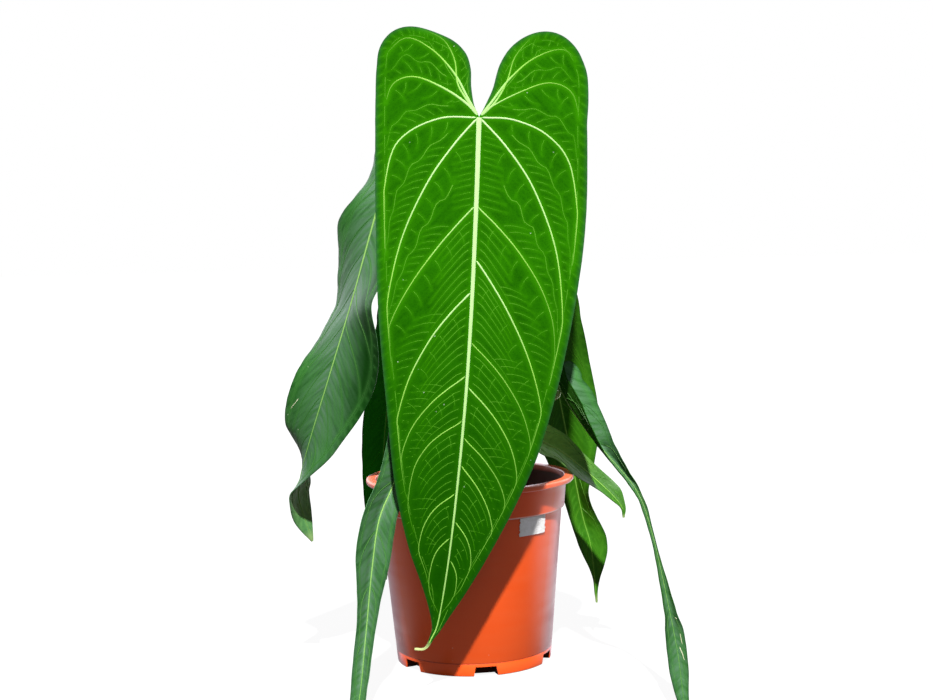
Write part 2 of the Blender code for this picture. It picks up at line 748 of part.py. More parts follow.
def right_back_leaf():
    width = (
        (0, 34), (0.12, 37), (0.3, 37), (0.4, 34), (0.5, 27), (0.6, 19), (0.67, 15), (0.74, 16), (0.8, 18),
        (0.85, 15), (0.9, 8), (0.95, 3), (1, 1),
    )
    return Leaf(
        name="right_back",
        colour=BLADE_COLOUR,
        spine=((75, 40, 368), (86, 60, 280), (99, 73, 206), (113, 74, 125), (121, 68, 90), (125, 58, 35)),
        stalk_at=50,
        turn=((0, -10), (0.4, -5), (0.6, 10), (0.67, 26), (0.75, 8), (0.84, -20), (1, -10)),
        fold=((0, 12), (0.4, 15), (0.6, 34), (0.67, 38), (0.75, 28), (0.84, 12), (1, 15)),
        curl=-14,
        left=(
            (0, 34), (0.12, 37), (0.3, 36), (0.4, 32), (0.5, 25), (0.6, 17), (0.72, 14), (0.8, 14), (0.85, 9),
            (0.9, 2.5), (0.95, 1.5), (1, 1),
        ),
        right=width,
        left_lobe=lobe(34, 42),
        right_lobe=lobe(34, 42),
        left_veins=side_veins(width, 291, 42, 7),
        right_veins=side_veins(width, 291, 42, 7),
        wave=1.6,
        wave_length=85,
        stalk=((16, 28, 210), (44, 58, 275), (66, 70, 300)),
        socket_deg=64,
    )


def right_long_leaf():
    width = (
        (0, 17), (0.08, 19), (0.2, 16), (0.28, 12), (0.34, 6), (0.38, 3), (0.5, 3), (0.57, 4), (0.63, 6.5),
        (0.7, 9.5), (0.77, 10.5), (0.82, 10), (0.88, 7), (0.94, 4), (1, 1),
    )
    return Leaf(
        name="right_long",
        colour=BLADE_COLOUR,
        spine=(
            (82, -15, 295), (89, -40, 260), (116, -72, 216), (148, -103, 176), (160, -120, 140),
            (168, -138, 95), (175, -163, 44), (175, -200, 11), (175, -240, 7),
        ),
        stalk_at=36,
        turn=((0, -60), (0.16, -60), (0.25, -42), (0.31, -20), (0.38, -5), (0.65, 0), (1, 0)),
        fold=(
            (0, 50), (0.1, 60), (0.25, 66), (0.38, 79), (0.44, 81), (0.56, 76), (0.69, 63), (0.75, 38),
            (0.82, 26), (1, 18),
        ),
        curl=-6,
        left=width,
        right=(
            (0, 22), (0.06, 25), (0.12, 22), (0.2, 16), (0.28, 11.5), (0.34, 5), (0.38, 3), (0.5, 1.5),
            (0.57, 3), (0.63, 6), (0.7, 9.5), (0.76, 8.5), (0.82, 7), (0.88, 4.5), (0.94, 3), (1, 1),
        ),
        left_lobe=lobe(18, 26),
        right_lobe=lobe(23, 26),
        left_veins=side_veins(width, 378, 26, 6),
        right_veins=side_veins(width, 378, 26, 6),
        wave=0.8,
        wave_length=80,
        stalk=((30, -14, 190), (55, -20, 228), (70, -26, 248)),
        socket_deg=321.5,
    )


def right_young_leaf():
    width = ((0, 15), (0.2, 19), (0.3, 16), (0.45, 12), (0.6, 11), (0.75, 11), (0.85, 9), (0.93, 3), (1, 1))
    return Leaf(
        name="right_young",
        colour=YOUNG_BLADE_COLOUR,
        spine=((42, 10, 235), (71, 9, 207), (90, 7, 196), (122, 0, 169), (144, -7, 146), (147, -9, 133)),
        stalk_at=24,
        turn=((0, -30), (0.7, -30), (1, -20)),
        fold=((0, 22), (0.5, 26), (1, 24)),
        curl=-12,
        left=(
            (0, 15), (0.2, 19), (0.32, 15), (0.45, 18), (0.55, 17), (0.65, 13), (0.75, 8), (0.85, 5),
            (0.93, 1.5), (1, 1),
        ),
        right=width,
        left_lobe=lobe(17, 18),
        right_lobe=lobe(17, 18),
        left_veins=side_veins(width, 132, 18, 5),
        right_veins=side_veins(width, 132, 18, 5),
        wave=0.8,
        wave_length=60,
        stalk=((24, 6, 182), (38, 10, 196)),
        socket_deg=13,
    )


def main():
    for obj in list(bpy.data.objects):
        bpy.data.objects.remove(obj)
    leaves = [
        front_leaf(),
        left_leaf(),
        front_left_leaf(),
        back_left_leaf(),
        right_back_leaf(),
        right_long_leaf(),
        right_young_leaf(),
    ]
    add_pot()
    add_label()
    add_potting_mix()
    add_crown(leaves)
    for leaf in leaves:
        add_blade(leaf)
        add_stalk(leaf)


main()
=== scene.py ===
"""A queen anthurium in its nursery pot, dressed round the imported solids.

Lengths are in millimetres and become metres where a mesh is finished. +Z is up, the viewer stands at -Y,
and the origin lies under the middle of the pot's foot.
"""

import bisect
import math
import random
from typing import NamedTuple

import bmesh
import bpy
import numpy as np
from mathutils import Matrix, Vector, kdtree, noise


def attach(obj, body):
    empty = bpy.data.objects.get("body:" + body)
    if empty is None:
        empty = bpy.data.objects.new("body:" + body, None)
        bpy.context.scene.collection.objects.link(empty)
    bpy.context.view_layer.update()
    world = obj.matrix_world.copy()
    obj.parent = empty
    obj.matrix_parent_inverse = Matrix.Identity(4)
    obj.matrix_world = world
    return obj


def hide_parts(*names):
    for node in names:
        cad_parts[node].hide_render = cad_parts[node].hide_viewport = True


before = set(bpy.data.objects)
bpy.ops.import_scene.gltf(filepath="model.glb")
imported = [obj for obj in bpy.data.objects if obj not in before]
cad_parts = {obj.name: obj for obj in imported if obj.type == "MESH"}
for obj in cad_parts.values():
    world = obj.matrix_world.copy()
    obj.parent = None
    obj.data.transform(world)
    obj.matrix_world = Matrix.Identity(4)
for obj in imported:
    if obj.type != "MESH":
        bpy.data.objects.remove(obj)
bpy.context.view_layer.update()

MM = 0.001
GAP = 0.3
IMAGE_WIDTH = 933
SHADER = "Principled BSDF"
JOIN = 0.0005

# Camera, at the photograph's place
CAMERA_AT = (0, -1.43, 0.388)
CAMERA_DOWN_DEG = 3.6
CAMERA_ROLL_DEG = -1.5
CAMERA_FOCAL_PX = 1490
SENSOR_WIDTH = 36

# Light
KEY_WAY = (0.03, -0.56, 0.83)
KEY_SOFT_DEG = 2
KEY_STRENGTH = 8.8
KEY_COLOUR = (1, 0.985, 0.96)
BACK_WAY = (0.5, 0.75, 0.45)
BACK_SOFT_DEG = 40
BACK_STRENGTH = 0.4
BACK_COLOUR = (0.97, 0.98, 1)
SKY_FILL = 0.36
SKY_COLOUR = (0.92, 0.94, 1.06)
WALLS_MIRRORED = 3.0
ROOM_MIRRORED = 0.05
FLOOR_SIZE = 60
FLOOR_DROP = 0.0003
FLOOR_GLOW = 0.93
FLOOR_COLOUR = 0.08
FLOOR_MIRRORED = 1.8

# Pot
POT_HEIGHT = 177
LIP_RADIUS = 100
LIP_WIDTH = 9
LIP_DEPTH = 5
COLLAR_TOP_RADIUS = 92.8
COLLAR_FOOT_RADIUS = 90.6
COLLAR_FOOT_Z = 147
BODY_TOP_RADIUS = 88
SEAM_RADIUS = 75.5
SEAM_Z = 12
FOOT_RADIUS = 74.5
WALL = 2.4
FLOOR = 3
FLOOR_RING_INNER = 58
POT_SIDES = 160
NOTCHES = 6
NOTCH_FIRST_DEG = 8
NOTCH_WIDTH = 28
NOTCH_THROAT = 21
NOTCH_HEIGHT = 9
NOTCH_DEPTH = 12
NOTCH_TAPER = 0.25
NOTCH_PAST_WALL = 6
NOTCH_BELOW_FOOT = 5
SEAM_DEPTH = 0.25
SHADE_STAIN_DEPTH = 1.2
SHADE_STAIN_BELOW_TOP = 4

# Paper tape
TAPE_LENGTH = 32
TAPE_HEIGHT = 17
TAPE_THICKNESS = 0.5
TAPE_TOP_Z = 146.5
TAPE_AT_DEG = 41
TAPE_TEAR = 2.2
TAPE_CRINKLE = 0.12
TAPE_GRID = (44, 24)

# Potting mix and crown
MIX_EDGE_Z = 142
MIX_MOUND = 5
MIX_SIDES = 96
MIX_RINGS = 26
CHIPS = (520, 1.6, 4.2)
GRITS = (60, 0.9, 1.9)
CROWN_RADIUS = 17
CROWN_FOOT_Z = 112
CROWN_TOP_Z = 160
CROWN_SIDES = 72
CROWN_STEPS = 44
LEAF_SCARS_Z = (147, 151)
SOCKET_CIRCLE = 11.5
SOCKET_Z = 141
STALK_LEAVES_CROWN_Z = 164
STALK_LEAVES_CROWN_OUT = 13.5

# Stalks
STALK_BASE_RADIUS = 3.6
STALK_RADIUS = 2.9
STALK_JOINT_RADIUS = 3.9
STALK_MEETS_BLADE = 7
STALK_STRAIGHT_END = 14
STALK_STANDOFF = 1.2
STALK_SIDES = 20
STALK_THICKNESS = (
    (0, STALK_BASE_RADIUS),
    (0.25, STALK_RADIUS + 0.2),
    (0.5, STALK_RADIUS),
    (0.86, STALK_RADIUS),
    (0.95, STALK_JOINT_RADIUS),
    (1, STALK_JOINT_RADIUS - 0.5),
)

# Blades
BLADE_THICKNESS = 0.9
KEEL_SOFTNESS = 4
MARGIN_STEP = 12
MARGIN_THIN = 0.35
MIDRIB_RISE = 0.9
MIDRIB_DROP = 1.7
VEIN_FOOT = 4.5
VEIN_POINTS = (0, 0.12, 0.3, 0.55, 0.8, 1)
FIRST_VEIN = 0.05
LAST_VEIN = 0.81
VEIN_REACH = 1.45
VEIN_LIMIT = 0.93
VEIN_STOP = 0.86
VEIN_BEND = 1.8
MARGIN_PHASE = 1.3
TANGENT_REACH = 4
PATH_PIECES = 24
VIEWER = Vector((0, -1, 0.2))
PUCKER = 0.45
PUCKER_REACH = 8
FLUTTER = 0.7
FLUTTER_REACH = 9
FLUTTER_LENGTH = 13
FLUTTER_BREADTH = 40
FLAT_RIM = 6
GLOW_REACH = 1.6
FINE_GLOW_REACH = 1.7
EDGE_REACH = 1.2
FINE_NET_SHARE = 0.12
FAINT = 0.1
TUBE_END = 0.02
VEIN_SIDES = 8
MIDRIB_SIDES = 16
MIDRIB_WIDTH = 1.3
VEIN_STEP = 5
FADE_POWER = 1.6
VEIN_RISE = (0.42, 0.14)
FINE_RISE = (0.08, 0.05)
SCAR_RISE = (0.35, 0.25)
NARROWS_TO = 0.7
FLAT_PIECES = 8
MARGIN_INSET = 9
NEAR_MIDRIB = 12
BY_MARGIN = (14, 34)
BY_MARGIN_ROOM = 60

# Finer veins
FRONT_NET_WIDTH = 1.5
NET_WIDTH = 0.7
NET_STEP = 2
NET_FROM_RIM = 0.8
NET_FROM_MIDRIB = 1.5
VEINLET_WIDTH = 0.85
RAIL_STEP = 16
RAIL_GAP = 20
RAIL_LOWEST = 170
HIGH_VEINLET_STEP = 6.4
PARALLEL_STEP = 8.5
PARALLEL_POINTS = 8
ARCH_STEP = 9
ARCH_LENGTHS = ((1, 30), (-1, 20))
RIM_STEP = 10
RIM_END = 14
RIM_VEINLETS_FROM = 30
LOBE_VEIN_START = 1.8
SCARS = (
    ("left", ((-37, 255), (-32, 247), (-26, 237)), 1.2),
    ("right_long", ((2, 272), (4, 280), (5.5, 290)), 1.1),
    ("right_long", ((6.3, 260), (5.5, 268), (6, 276)), 0.9),
    ("right_long", ((4.5, 248), (7, 251)), 1.4),
)


class Leaf(NamedTuple):
    """One leaf. Distances along the blade start at the stalk; shares run over the whole spine."""

    name: str
    look: str
    rows: int
    columns: int
    vein_width: float
    spine: tuple
    stalk_at: float
    turn: tuple
    fold: tuple
    curl: float
    left: tuple
    right: tuple
    lobes: tuple  # the left half's margin and the right half's, and so on below
    veins: tuple
    wave: float
    wave_length: float
    stalk: tuple
    socket_deg: float
    bold: tuple = ((), ())  # how pale and wide each vein is, from 0 to 1, in order; the rest are faint


LOBE_SHAPE = (
    (0.05, -0.10), (0.11, -0.30), (0.16, -0.52), (0.22, -0.72), (0.36, -0.90), (0.56, -1.0),
    (0.76, -0.97), (0.91, -0.82), (0.99, -0.58), (1.01, -0.28),
)
BASE_VEIN = ((0.45, 0.02), (0.84, 0.16))
LOBE_VEIN = ((0.3, -0.45), (0.6, -0.84))
FRONT_LEFT_LOBE = (
    (5, -12), (8, -30), (9, -48), (15, -64), (30, -77), (60, -88), (81, -85), (94, -70), (97, -45),
)
FRONT_RIGHT_LOBE = (
    (4, -8), (12, -28), (18, -52), (30, -72), (50, -85), (70, -86), (88, -74), (99, -50), (101, -22),
)
FRONT_LEFT_BASE_VEINS = (
    ((4, -5), (20, -30), (24, -55), (35, -75), (56, -86)),
    ((24, -42), (45, -65), (70, -77), (90, -60)),
    ((9, -10), (30, -25), (60, -38), (80, -32), (87, -12)),
    ((6, 1), (35, 3), (65, 18), (80, 42), (86, 100)),
)
FRONT_RIGHT_BASE_VEINS = (
    ((5, -4), (15, -15), (25, -35), (32, -60), (48, -82)),
    ((26, -36), (48, -58), (75, -70), (91, -60)),
    ((10, -9), (36, -24), (64, -35), (85, -27), (93, 0)),
    ((7, 1), (32, 3), (63, 17), (85, 46), (94, 108)),
)
FRONT_LEFT_SIDE_VEINS = (
    (5, 76, 205, 2.3), (90, 75, 215, 1.5), (170, 60, 310, 2.3), (245, 52, 325, 2.2),
    (285, 42, 355, 3), (350, 28, 405, 3.3), (390, 15, 425, 3.5),
)
FRONT_RIGHT_SIDE_VEINS = (
    (5, 82, 215, 2.6), (90, 76, 210, 1.8), (140, 70, 285, 1.6), (215, 62, 310, 1.9), (255, 52, 335, 2),
    (300, 44, 355, 1.8), (325, 36, 385, 2), (375, 20, 410, 2.5), (410, 10, 425, 2),
)


def blend(table, at):
    """The value at a place between rows (place, value), on a smooth curve through them."""
    if at <= table[0][0]:
        return table[0][1]
    if at >= table[-1][0]:
        return table[-1][1]
    last = len(table) - 1
    i = next(i for i in range(last) if at <= table[i + 1][0])
    (x0, y0), (x1, y1) = table[i], table[i + 1]
    (xa, ya), (xb, yb) = table[max(i - 1, 0)], table[min(i + 2, last)]
    step = x1 - x0
    slope0 = (y1 - ya) / (x1 - xa) * step
    slope1 = (yb - y0) / (xb - x0) * step
    t = (at - x0) / step
    return (
        y0 * (1 + 2 * t) * (1 - t) ** 2
        + slope0 * t * (1 - t) ** 2
        + y1 * t * t * (3 - 2 * t)
        + slope1 * t * t * (t - 1)
    )


def smooth_points(points, pieces):
    """Points along a Catmull-Rom curve through the given ones, with so many pieces between neighbours."""
    points = [Vector(p) for p in points]
    ends = [2 * points[0] - points[1], *points, 2 * points[-1] - points[-2]]
    found = []
    for a, b, c, d in zip(ends, ends[1:], ends[2:], ends[3:]):
        for i in range(pieces):
            t = i / pieces
            found.append(
                0.5
                * (
                    2 * b
                    + (c - a) * t
                    + (2 * a - 5 * b + 4 * c - d) * t * t
                    + (3 * b - a - 3 * c + d) * t**3
                )
            )
    found.append(points[-1])
    return found


class Path:
    """A smooth curve that is read by distance along it, and runs on straight past its ends."""

    def __init__(self, points, pieces=PATH_PIECES):
        self.points = smooth_points(points, pieces)
        self.marks = [0.0]
        for a, b in zip(self.points, self.points[1:]):
            self.marks.append(self.marks[-1] + (b - a).length)
        self.length = self.marks[-1]

    def at(self, distance):
        i = bisect.bisect_right(self.marks, distance, 1, len(self.marks) - 1) - 1
        a, b = self.points[i], self.points[i + 1]
        return a + (b - a) * ((distance - self.marks[i]) / (self.marks[i + 1] - self.marks[i]))

    def at_share(self, share):
        return self.at(self.length * share)

    def direction(self, distance):
        return (self.at(distance + TANGENT_REACH) - self.at(distance - TANGENT_REACH)).normalized()

    def resampled(self, step):
        count = max(1, round(self.length / step))
        return [self.at(self.length * i / count) for i in range(count + 1)]


class Surface:
    """A leaf's curved middle surface, read by distance from the midrib (u) and below the stalk (s)."""

    def __init__(self, leaf):
        self.leaf = leaf
        self.path = Path(leaf.spine)
        self.length = self.path.length - leaf.stalk_at
        self.half_width = max(width for _, width in leaf.left + leaf.right)
        self.curl = math.radians(leaf.curl) / self.half_width
        self.rows = {}

    def row(self, s):
        """The spine's point, the way the face looks, the way to u, and the fold, at one distance."""
        key = round(s, 3)
        if key not in self.rows:
            along = self.leaf.stalk_at + s
            share = along / self.path.length
            down = self.path.direction(along)
            face = VIEWER - down * VIEWER.dot(down)
            turn = math.radians(blend(self.leaf.turn, share))
            face = Matrix.Rotation(turn, 3, down) @ face.normalized()
            fold = math.radians(blend(self.leaf.fold, share))
            fold = fold if abs(fold) > 0.001 else 0.001
            self.rows[key] = (self.path.at(along), face, face.cross(down), fold)
        return self.rows[key]

    def point(self, u, s):
        middle, face, side, fold = self.row(s)
        away = abs(u)
        keel = min(away, KEEL_SOFTNESS)
        bend = fold / KEEL_SOFTNESS
        rest = away - keel
        across = math.sin(bend * keel) / bend
        across += (math.sin(fold + self.curl * rest) - math.sin(fold)) / self.curl
        rise = (1 - math.cos(bend * keel)) / bend
        rise += (math.cos(fold) - math.cos(fold + self.curl * rest)) / self.curl
        phase = 2 * math.pi * s / self.leaf.wave_length + (MARGIN_PHASE if u > 0 else 0)
        rise += self.leaf.wave * (u / self.half_width) ** 2 * math.sin(phase)
        return middle + side * math.copysign(across, u) + face * rise

    def normal(self, u, s):
        step = 0.5
        over = self.point(u + step, s) - self.point(u - step, s)
        down = self.point(u, s + step) - self.point(u, s - step)
        return down.cross(over).normalized()


def lobe(width, length):
    return tuple((x * width, y * length) for x, y in LOBE_SHAPE)


def swept_vein(start, out, end, bend):
    """Points along a side vein that leaves the midrib, reaches out and turns towards the tip."""
    reach = out - VEIN_FOOT
    return tuple(
        (VEIN_FOOT + reach * (1 - (1 - share) ** bend), start + (end - start) * share)
        for share in VEIN_POINTS
    )


def side_veins(table, length, lobe_length, count):
    """One vein up into the lobe, one out to the side, then side veins at even steps down the blade."""
    width = table[0][1]
    veins = [
        ((VEIN_FOOT, -3), *((u * width, s * lobe_length) for u, s in LOBE_VEIN)),
        ((VEIN_FOOT, 1), *((u * width, s * length) for u, s in BASE_VEIN)),
    ]
    for i in range(count):
        start = length * (FIRST_VEIN + (LAST_VEIN - FIRST_VEIN) * i / (count - 1))
        end = min(start + VEIN_REACH * blend(table, start / length), VEIN_LIMIT * length)
        veins.append(swept_vein(start, VEIN_STOP * blend(table, end / length), end, VEIN_BEND))
    return tuple(veins)


def plain_leaf(lobe_widths, lobe_length, blade_length, vein_count, vein_room=None, **rest):
    """A leaf whose lobes and veins follow the usual form of its kind, with the same veins in both halves."""
    veins = side_veins(vein_room or rest["right"], blade_length, lobe_length, vein_count)
    lobes = tuple(lobe(width, lobe_length) for width in lobe_widths)
    return Leaf(lobes=lobes, veins=(veins, veins), **rest)


LONG_LEFT_WIDTH = (
    (0, 17), (0.08, 19), (0.2, 16), (0.28, 12), (0.34, 6), (0.38, 3), (0.5, 3), (0.57, 4), (0.63, 6.5),
    (0.7, 9.5), (0.77, 10.5), (0.82, 10), (0.88, 7), (0.94, 4), (1, 1),
)
LEAVES = (
    Leaf(
        name="front", look="bright", rows=340, columns=64, vein_width=2.2,
        spine=(
            (22, -22, 603), (12, -75, 430), (0, -108, 280), (-16, -120, 150), (-30, -120, 70),
            (-38, -122, 49), (-44, -124, 41), (-53, -125, 41),
        ),
        stalk_at=92,
        turn=((0, 0), (1, 0)),
        fold=((0, 5), (0.3, 6), (0.8, 8), (1, 15)),
        curl=-16,
        left=(
            (0, 96), (0.2, 91), (0.4, 82), (0.6, 65), (0.7, 54), (0.8, 37), (0.88, 17), (0.93, 6), (0.96, 2),
            (1, 1),
        ),
        right=(
            (0, 100), (0.2, 100), (0.4, 89), (0.6, 70), (0.7, 54), (0.8, 34), (0.88, 17), (0.93, 6),
            (0.96, 2), (1, 1),
        ),
        lobes=(FRONT_LEFT_LOBE, FRONT_RIGHT_LOBE),
        veins=(
            FRONT_LEFT_BASE_VEINS + tuple(swept_vein(*vein) for vein in FRONT_LEFT_SIDE_VEINS),
            FRONT_RIGHT_BASE_VEINS + tuple(swept_vein(*vein) for vein in FRONT_RIGHT_SIDE_VEINS),
        ),
        bold=(
            (0.5, 0.65, 0.75, 1, 1, 0.7, 0.85, 0.55, 0.45, 0.45, 0.4),
            (0.5, 0.65, 0.75, 1, 1, 0.6, 0.85, 0.4, 0.6, 0.4, 0.5, 0.4, 0.35),
        ),
        wave=1.5, wave_length=150, socket_deg=270,
        stalk=((3, -20, 220), (8, -14, 330), (13, -8, 430), (15, -12, 482)),
    ),
    plain_leaf(
        name="left", look="silvered", rows=240, columns=40, vein_width=1.0,
        spine=(
            (-55, 8, 520), (-68, 2, 475), (-84, -12, 425), (-106, -25, 350), (-129, -34, 280),
            (-149, -36, 220), (-161, -28, 180), (-163, -25, 160), (-152, -20, 120),
        ),
        stalk_at=46,
        turn=(
            (0, 40), (0.13, 40), (0.2, 25), (0.27, 30), (0.37, 55), (0.44, 64), (0.5, 50), (0.62, 22),
            (0.7, 20), (0.76, 30), (0.81, 62), (0.87, 105), (0.94, 130), (1, 140),
        ),
        fold=((0, -10), (0.25, -10), (0.44, 2), (0.56, -12), (0.75, -12), (0.87, -5), (1, 0)),
        curl=-8,
        left=(
            (0, 33), (0.06, 33), (0.1, 36), (0.14, 46), (0.17, 50), (0.22, 48), (0.3, 46), (0.45, 46),
            (0.52, 43), (0.6, 43), (0.66, 44), (0.7, 42), (0.8, 30), (0.9, 16), (1, 1),
        ),
        right=(
            (0, 38), (0.1, 44), (0.3, 47), (0.48, 48), (0.55, 46), (0.6, 42), (0.65, 37), (0.7, 31),
            (0.75, 26), (0.8, 21), (0.85, 21), (0.9, 18), (0.95, 11), (1, 1),
        ),
        lobe_widths=(38, 38), lobe_length=48, blade_length=379, vein_count=9,
        wave=2, wave_length=95, socket_deg=167,
        stalk=((-22, 8, 220), (-40, 18, 330), (-50, 22, 430), (-54, 24, 458)),
    ),
    plain_leaf(
        name="front_left", look="silvered", rows=200, columns=24, vein_width=0.85,
        spine=(
            (-47, -40, 262), (-66, -84, 192), (-82, -105, 155), (-89, -124, 112), (-94, -150, 62),
            (-98, -190, 18), (-102, -220, 8), (-105, -256, 7),
        ),
        stalk_at=30,
        turn=((0, 0), (0.4, -6), (0.6, -4), (0.8, 12), (0.9, 0), (1, 0)),
        fold=((0, 30), (0.2, 44), (0.6, 48), (0.75, 40), (0.85, 20), (1, 15)),
        curl=-10,
        left=(
            (0, 20), (0.15, 20), (0.3, 20), (0.4, 22), (0.46, 19), (0.52, 14), (0.6, 11), (0.7, 10), (0.8, 8),
            (0.9, 5), (1, 1),
        ),
        right=(
            (0, 20), (0.15, 20), (0.25, 18), (0.35, 20), (0.45, 18), (0.55, 12), (0.7, 9), (0.8, 6), (1, 1),
        ),
        lobe_widths=(20, 20), lobe_length=24, blade_length=330, vein_count=6,
        wave=1.2, wave_length=80, socket_deg=218.5,
        stalk=((-22, -20, 190), (-34, -30, 218)),
    ),
    plain_leaf(
        name="back_left", look="deep", rows=170, columns=26, vein_width=1.1,
        spine=((-65, 44, 347), (-78, 82, 264), (-86, 102, 210), (-90, 108, 158), (-90, 100, 55)),
        stalk_at=37,
        turn=((0, 35), (0.5, 30), (1, 25)),
        fold=((0, 10), (0.5, 15), (1, 20)),
        curl=-18,
        left=((0, 24), (0.15, 26), (0.4, 26), (0.6, 24), (0.75, 19), (0.87, 11), (0.94, 5), (1, 1)),
        right=((0, 24), (0.15, 27), (0.4, 29), (0.6, 27), (0.75, 20), (0.87, 11), (0.94, 5), (1, 1)),
        lobe_widths=(26, 26), lobe_length=32, blade_length=272, vein_count=6,
        wave=1.8, wave_length=90, socket_deg=116,
        stalk=((-16, 28, 210), (-36, 56, 270), (-50, 72, 296)),
    ),
    plain_leaf(
        name="right_back", look="fresh", rows=190, columns=30, vein_width=1.1,
        spine=((75, 40, 368), (86, 60, 280), (99, 73, 206), (113, 74, 125), (121, 68, 90), (125, 58, 35)),
        stalk_at=50,
        turn=((0, -10), (0.4, -5), (0.6, 10), (0.67, 26), (0.75, 8), (0.84, -20), (1, -10)),
        fold=((0, 12), (0.4, 15), (0.6, 34), (0.67, 38), (0.75, 28), (0.84, 12), (1, 15)),
        curl=-14,
        left=(
            (0, 34), (0.12, 37), (0.3, 36), (0.4, 32), (0.5, 25), (0.6, 17), (0.72, 14), (0.8, 14), (0.85, 9),
            (0.9, 2.5), (0.95, 1.5), (1, 1),
        ),
        right=(
            (0, 34), (0.12, 37), (0.3, 37), (0.4, 34), (0.5, 27), (0.6, 19), (0.67, 15), (0.74, 16),
            (0.8, 18), (0.85, 15), (0.9, 8), (0.95, 3), (1, 1),
        ),
        lobe_widths=(34, 34), lobe_length=42, blade_length=291, vein_count=7,
        wave=1.6, wave_length=85, socket_deg=64,
        stalk=((16, 28, 210), (44, 58, 275), (66, 70, 300)),
    ),
    plain_leaf(
        name="right_long", look="silvered_long", rows=230, columns=20, vein_width=0.45,
        spine=(
            (82, -15, 295), (89, -40, 260), (116, -72, 216), (148, -103, 176), (160, -120, 140),
            (168, -138, 95), (175, -163, 44), (175, -200, 11), (175, -240, 7),
        ),
        stalk_at=36,
        turn=((0, -60), (0.16, -60), (0.25, -42), (0.31, -20), (0.38, -5), (0.65, 0), (1, 0)),
        fold=(
            (0, 50), (0.1, 60), (0.25, 66), (0.38, 79), (0.44, 81), (0.56, 76), (0.69, 63), (0.75, 38),
            (0.82, 26), (1, 18),
        ),
        curl=-6,
        left=LONG_LEFT_WIDTH,
        right=(
            (0, 22), (0.06, 25), (0.12, 22), (0.2, 16), (0.28, 11.5), (0.34, 5), (0.38, 3), (0.5, 1.5),
            (0.57, 3), (0.63, 6), (0.7, 9.5), (0.76, 8.5), (0.82, 7), (0.88, 4.5), (0.94, 3), (1, 1),
        ),
        vein_room=LONG_LEFT_WIDTH,
        lobe_widths=(18, 23), lobe_length=26, blade_length=378, vein_count=6,
        wave=0.8, wave_length=80, socket_deg=321.5,
        stalk=((30, -14, 190), (55, -20, 228), (70, -26, 248)),
    ),
    plain_leaf(
        name="right_young", look="young", rows=110, columns=22, vein_width=0.9,
        spine=((42, 10, 235), (71, 9, 207), (90, 7, 196), (122, 0, 169), (144, -7, 146), (147, -9, 133)),
        stalk_at=24,
        turn=((0, -30), (0.7, -30), (1, -20)),
        fold=((0, 22), (0.5, 26), (1, 24)),
        curl=-12,
        left=(
            (0, 15), (0.2, 19), (0.32, 15), (0.45, 18), (0.55, 17), (0.65, 13), (0.75, 8), (0.85, 5),
            (0.93, 1.5), (1, 1),
        ),
        right=(
            (0, 15), (0.2, 19), (0.3, 16), (0.45, 12), (0.6, 11), (0.75, 11), (0.85, 9), (0.93, 3), (1, 1),
        ),
        lobe_widths=(17, 17), lobe_length=18, blade_length=132, vein_count=5,
        wave=0.8, wave_length=60, socket_deg=13,
        stalk=((24, 6, 182), (38, 10, 196)),
    ),
)


# Materials


def put(tree, kind, inputs=None, **settings):
    """A shader node, with its settings, and a value or another node's socket in each named input."""
    node = tree.nodes.new("ShaderNode" + kind)
    for name, value in settings.items():
        setattr(node, name, value)
    for name, value in (inputs or {}).items():
        if isinstance(value, bpy.types.NodeSocket):
            tree.links.new(value, node.inputs[name])
        else:
            node.inputs[name].default_value = value
    return node


def mix(tree, share, first, second):
    """A colour between two, each of them a socket or a constant (red, green, blue)."""
    first, second = (c if isinstance(c, bpy.types.NodeSocket) else (*c, 1) for c in (first, second))
    return put(tree, "Mix", {0: share, 6: first, 7: second}, data_type="RGBA").outputs[2]


def layered(tree, colour, *layers):
    """The colour with others laid over it in turn, each given as (how much of it shows, colour)."""
    for share, over in layers:
        colour = mix(tree, share, colour, over)
    return colour


def maths(tree, operation, first, second=0.0):
    return put(tree, "Math", {0: first, 1: second}, operation=operation).outputs[0]


def times(tree, first, second):
    return maths(tree, "MULTIPLY", first, second)


def plus(tree, first, second):
    return maths(tree, "ADD", first, second)


def ramp(tree, value, low, high, to_low=0.0, to_high=1.0):
    inputs = {"Value": value, "From Min": low, "From Max": high, "To Min": to_low, "To Max": to_high}
    return put(tree, "MapRange", inputs, clamp=True).outputs[0]


def axes(tree, vector):
    return put(tree, "SeparateXYZ", {0: vector}).outputs


def object_place(tree):
    return put(tree, "TexCoord").outputs["Object"]


def new_group(name, *outputs):
    """A node group that reads a place at a scale: its tree, those two sockets, and its output node."""
    tree = bpy.data.node_groups.new(name, "ShaderNodeTree")
    for socket, kind in (("Vector", "NodeSocketVector"), ("Scale", "NodeSocketFloat")):
        tree.interface.new_socket(socket, in_out="INPUT", socket_type=kind)
    for socket in outputs:
        tree.interface.new_socket(socket, in_out="OUTPUT", socket_type="NodeSocketFloat")
    start = tree.nodes.new("NodeGroupInput").outputs
    return tree, start["Vector"], start["Scale"], tree.nodes.new("NodeGroupOutput")


def mottle_group():
    """Soft uneven patches, from 0 to 1."""
    tree, place, scale, end = new_group("mottle", "Patches")
    cloud = put(tree, "TexNoise", {"Vector": place, "Scale": scale, "Detail": 4.0})
    tree.links.new(ramp(tree, cloud.outputs[0], 0.3, 0.7), end.inputs["Patches"])
    return tree


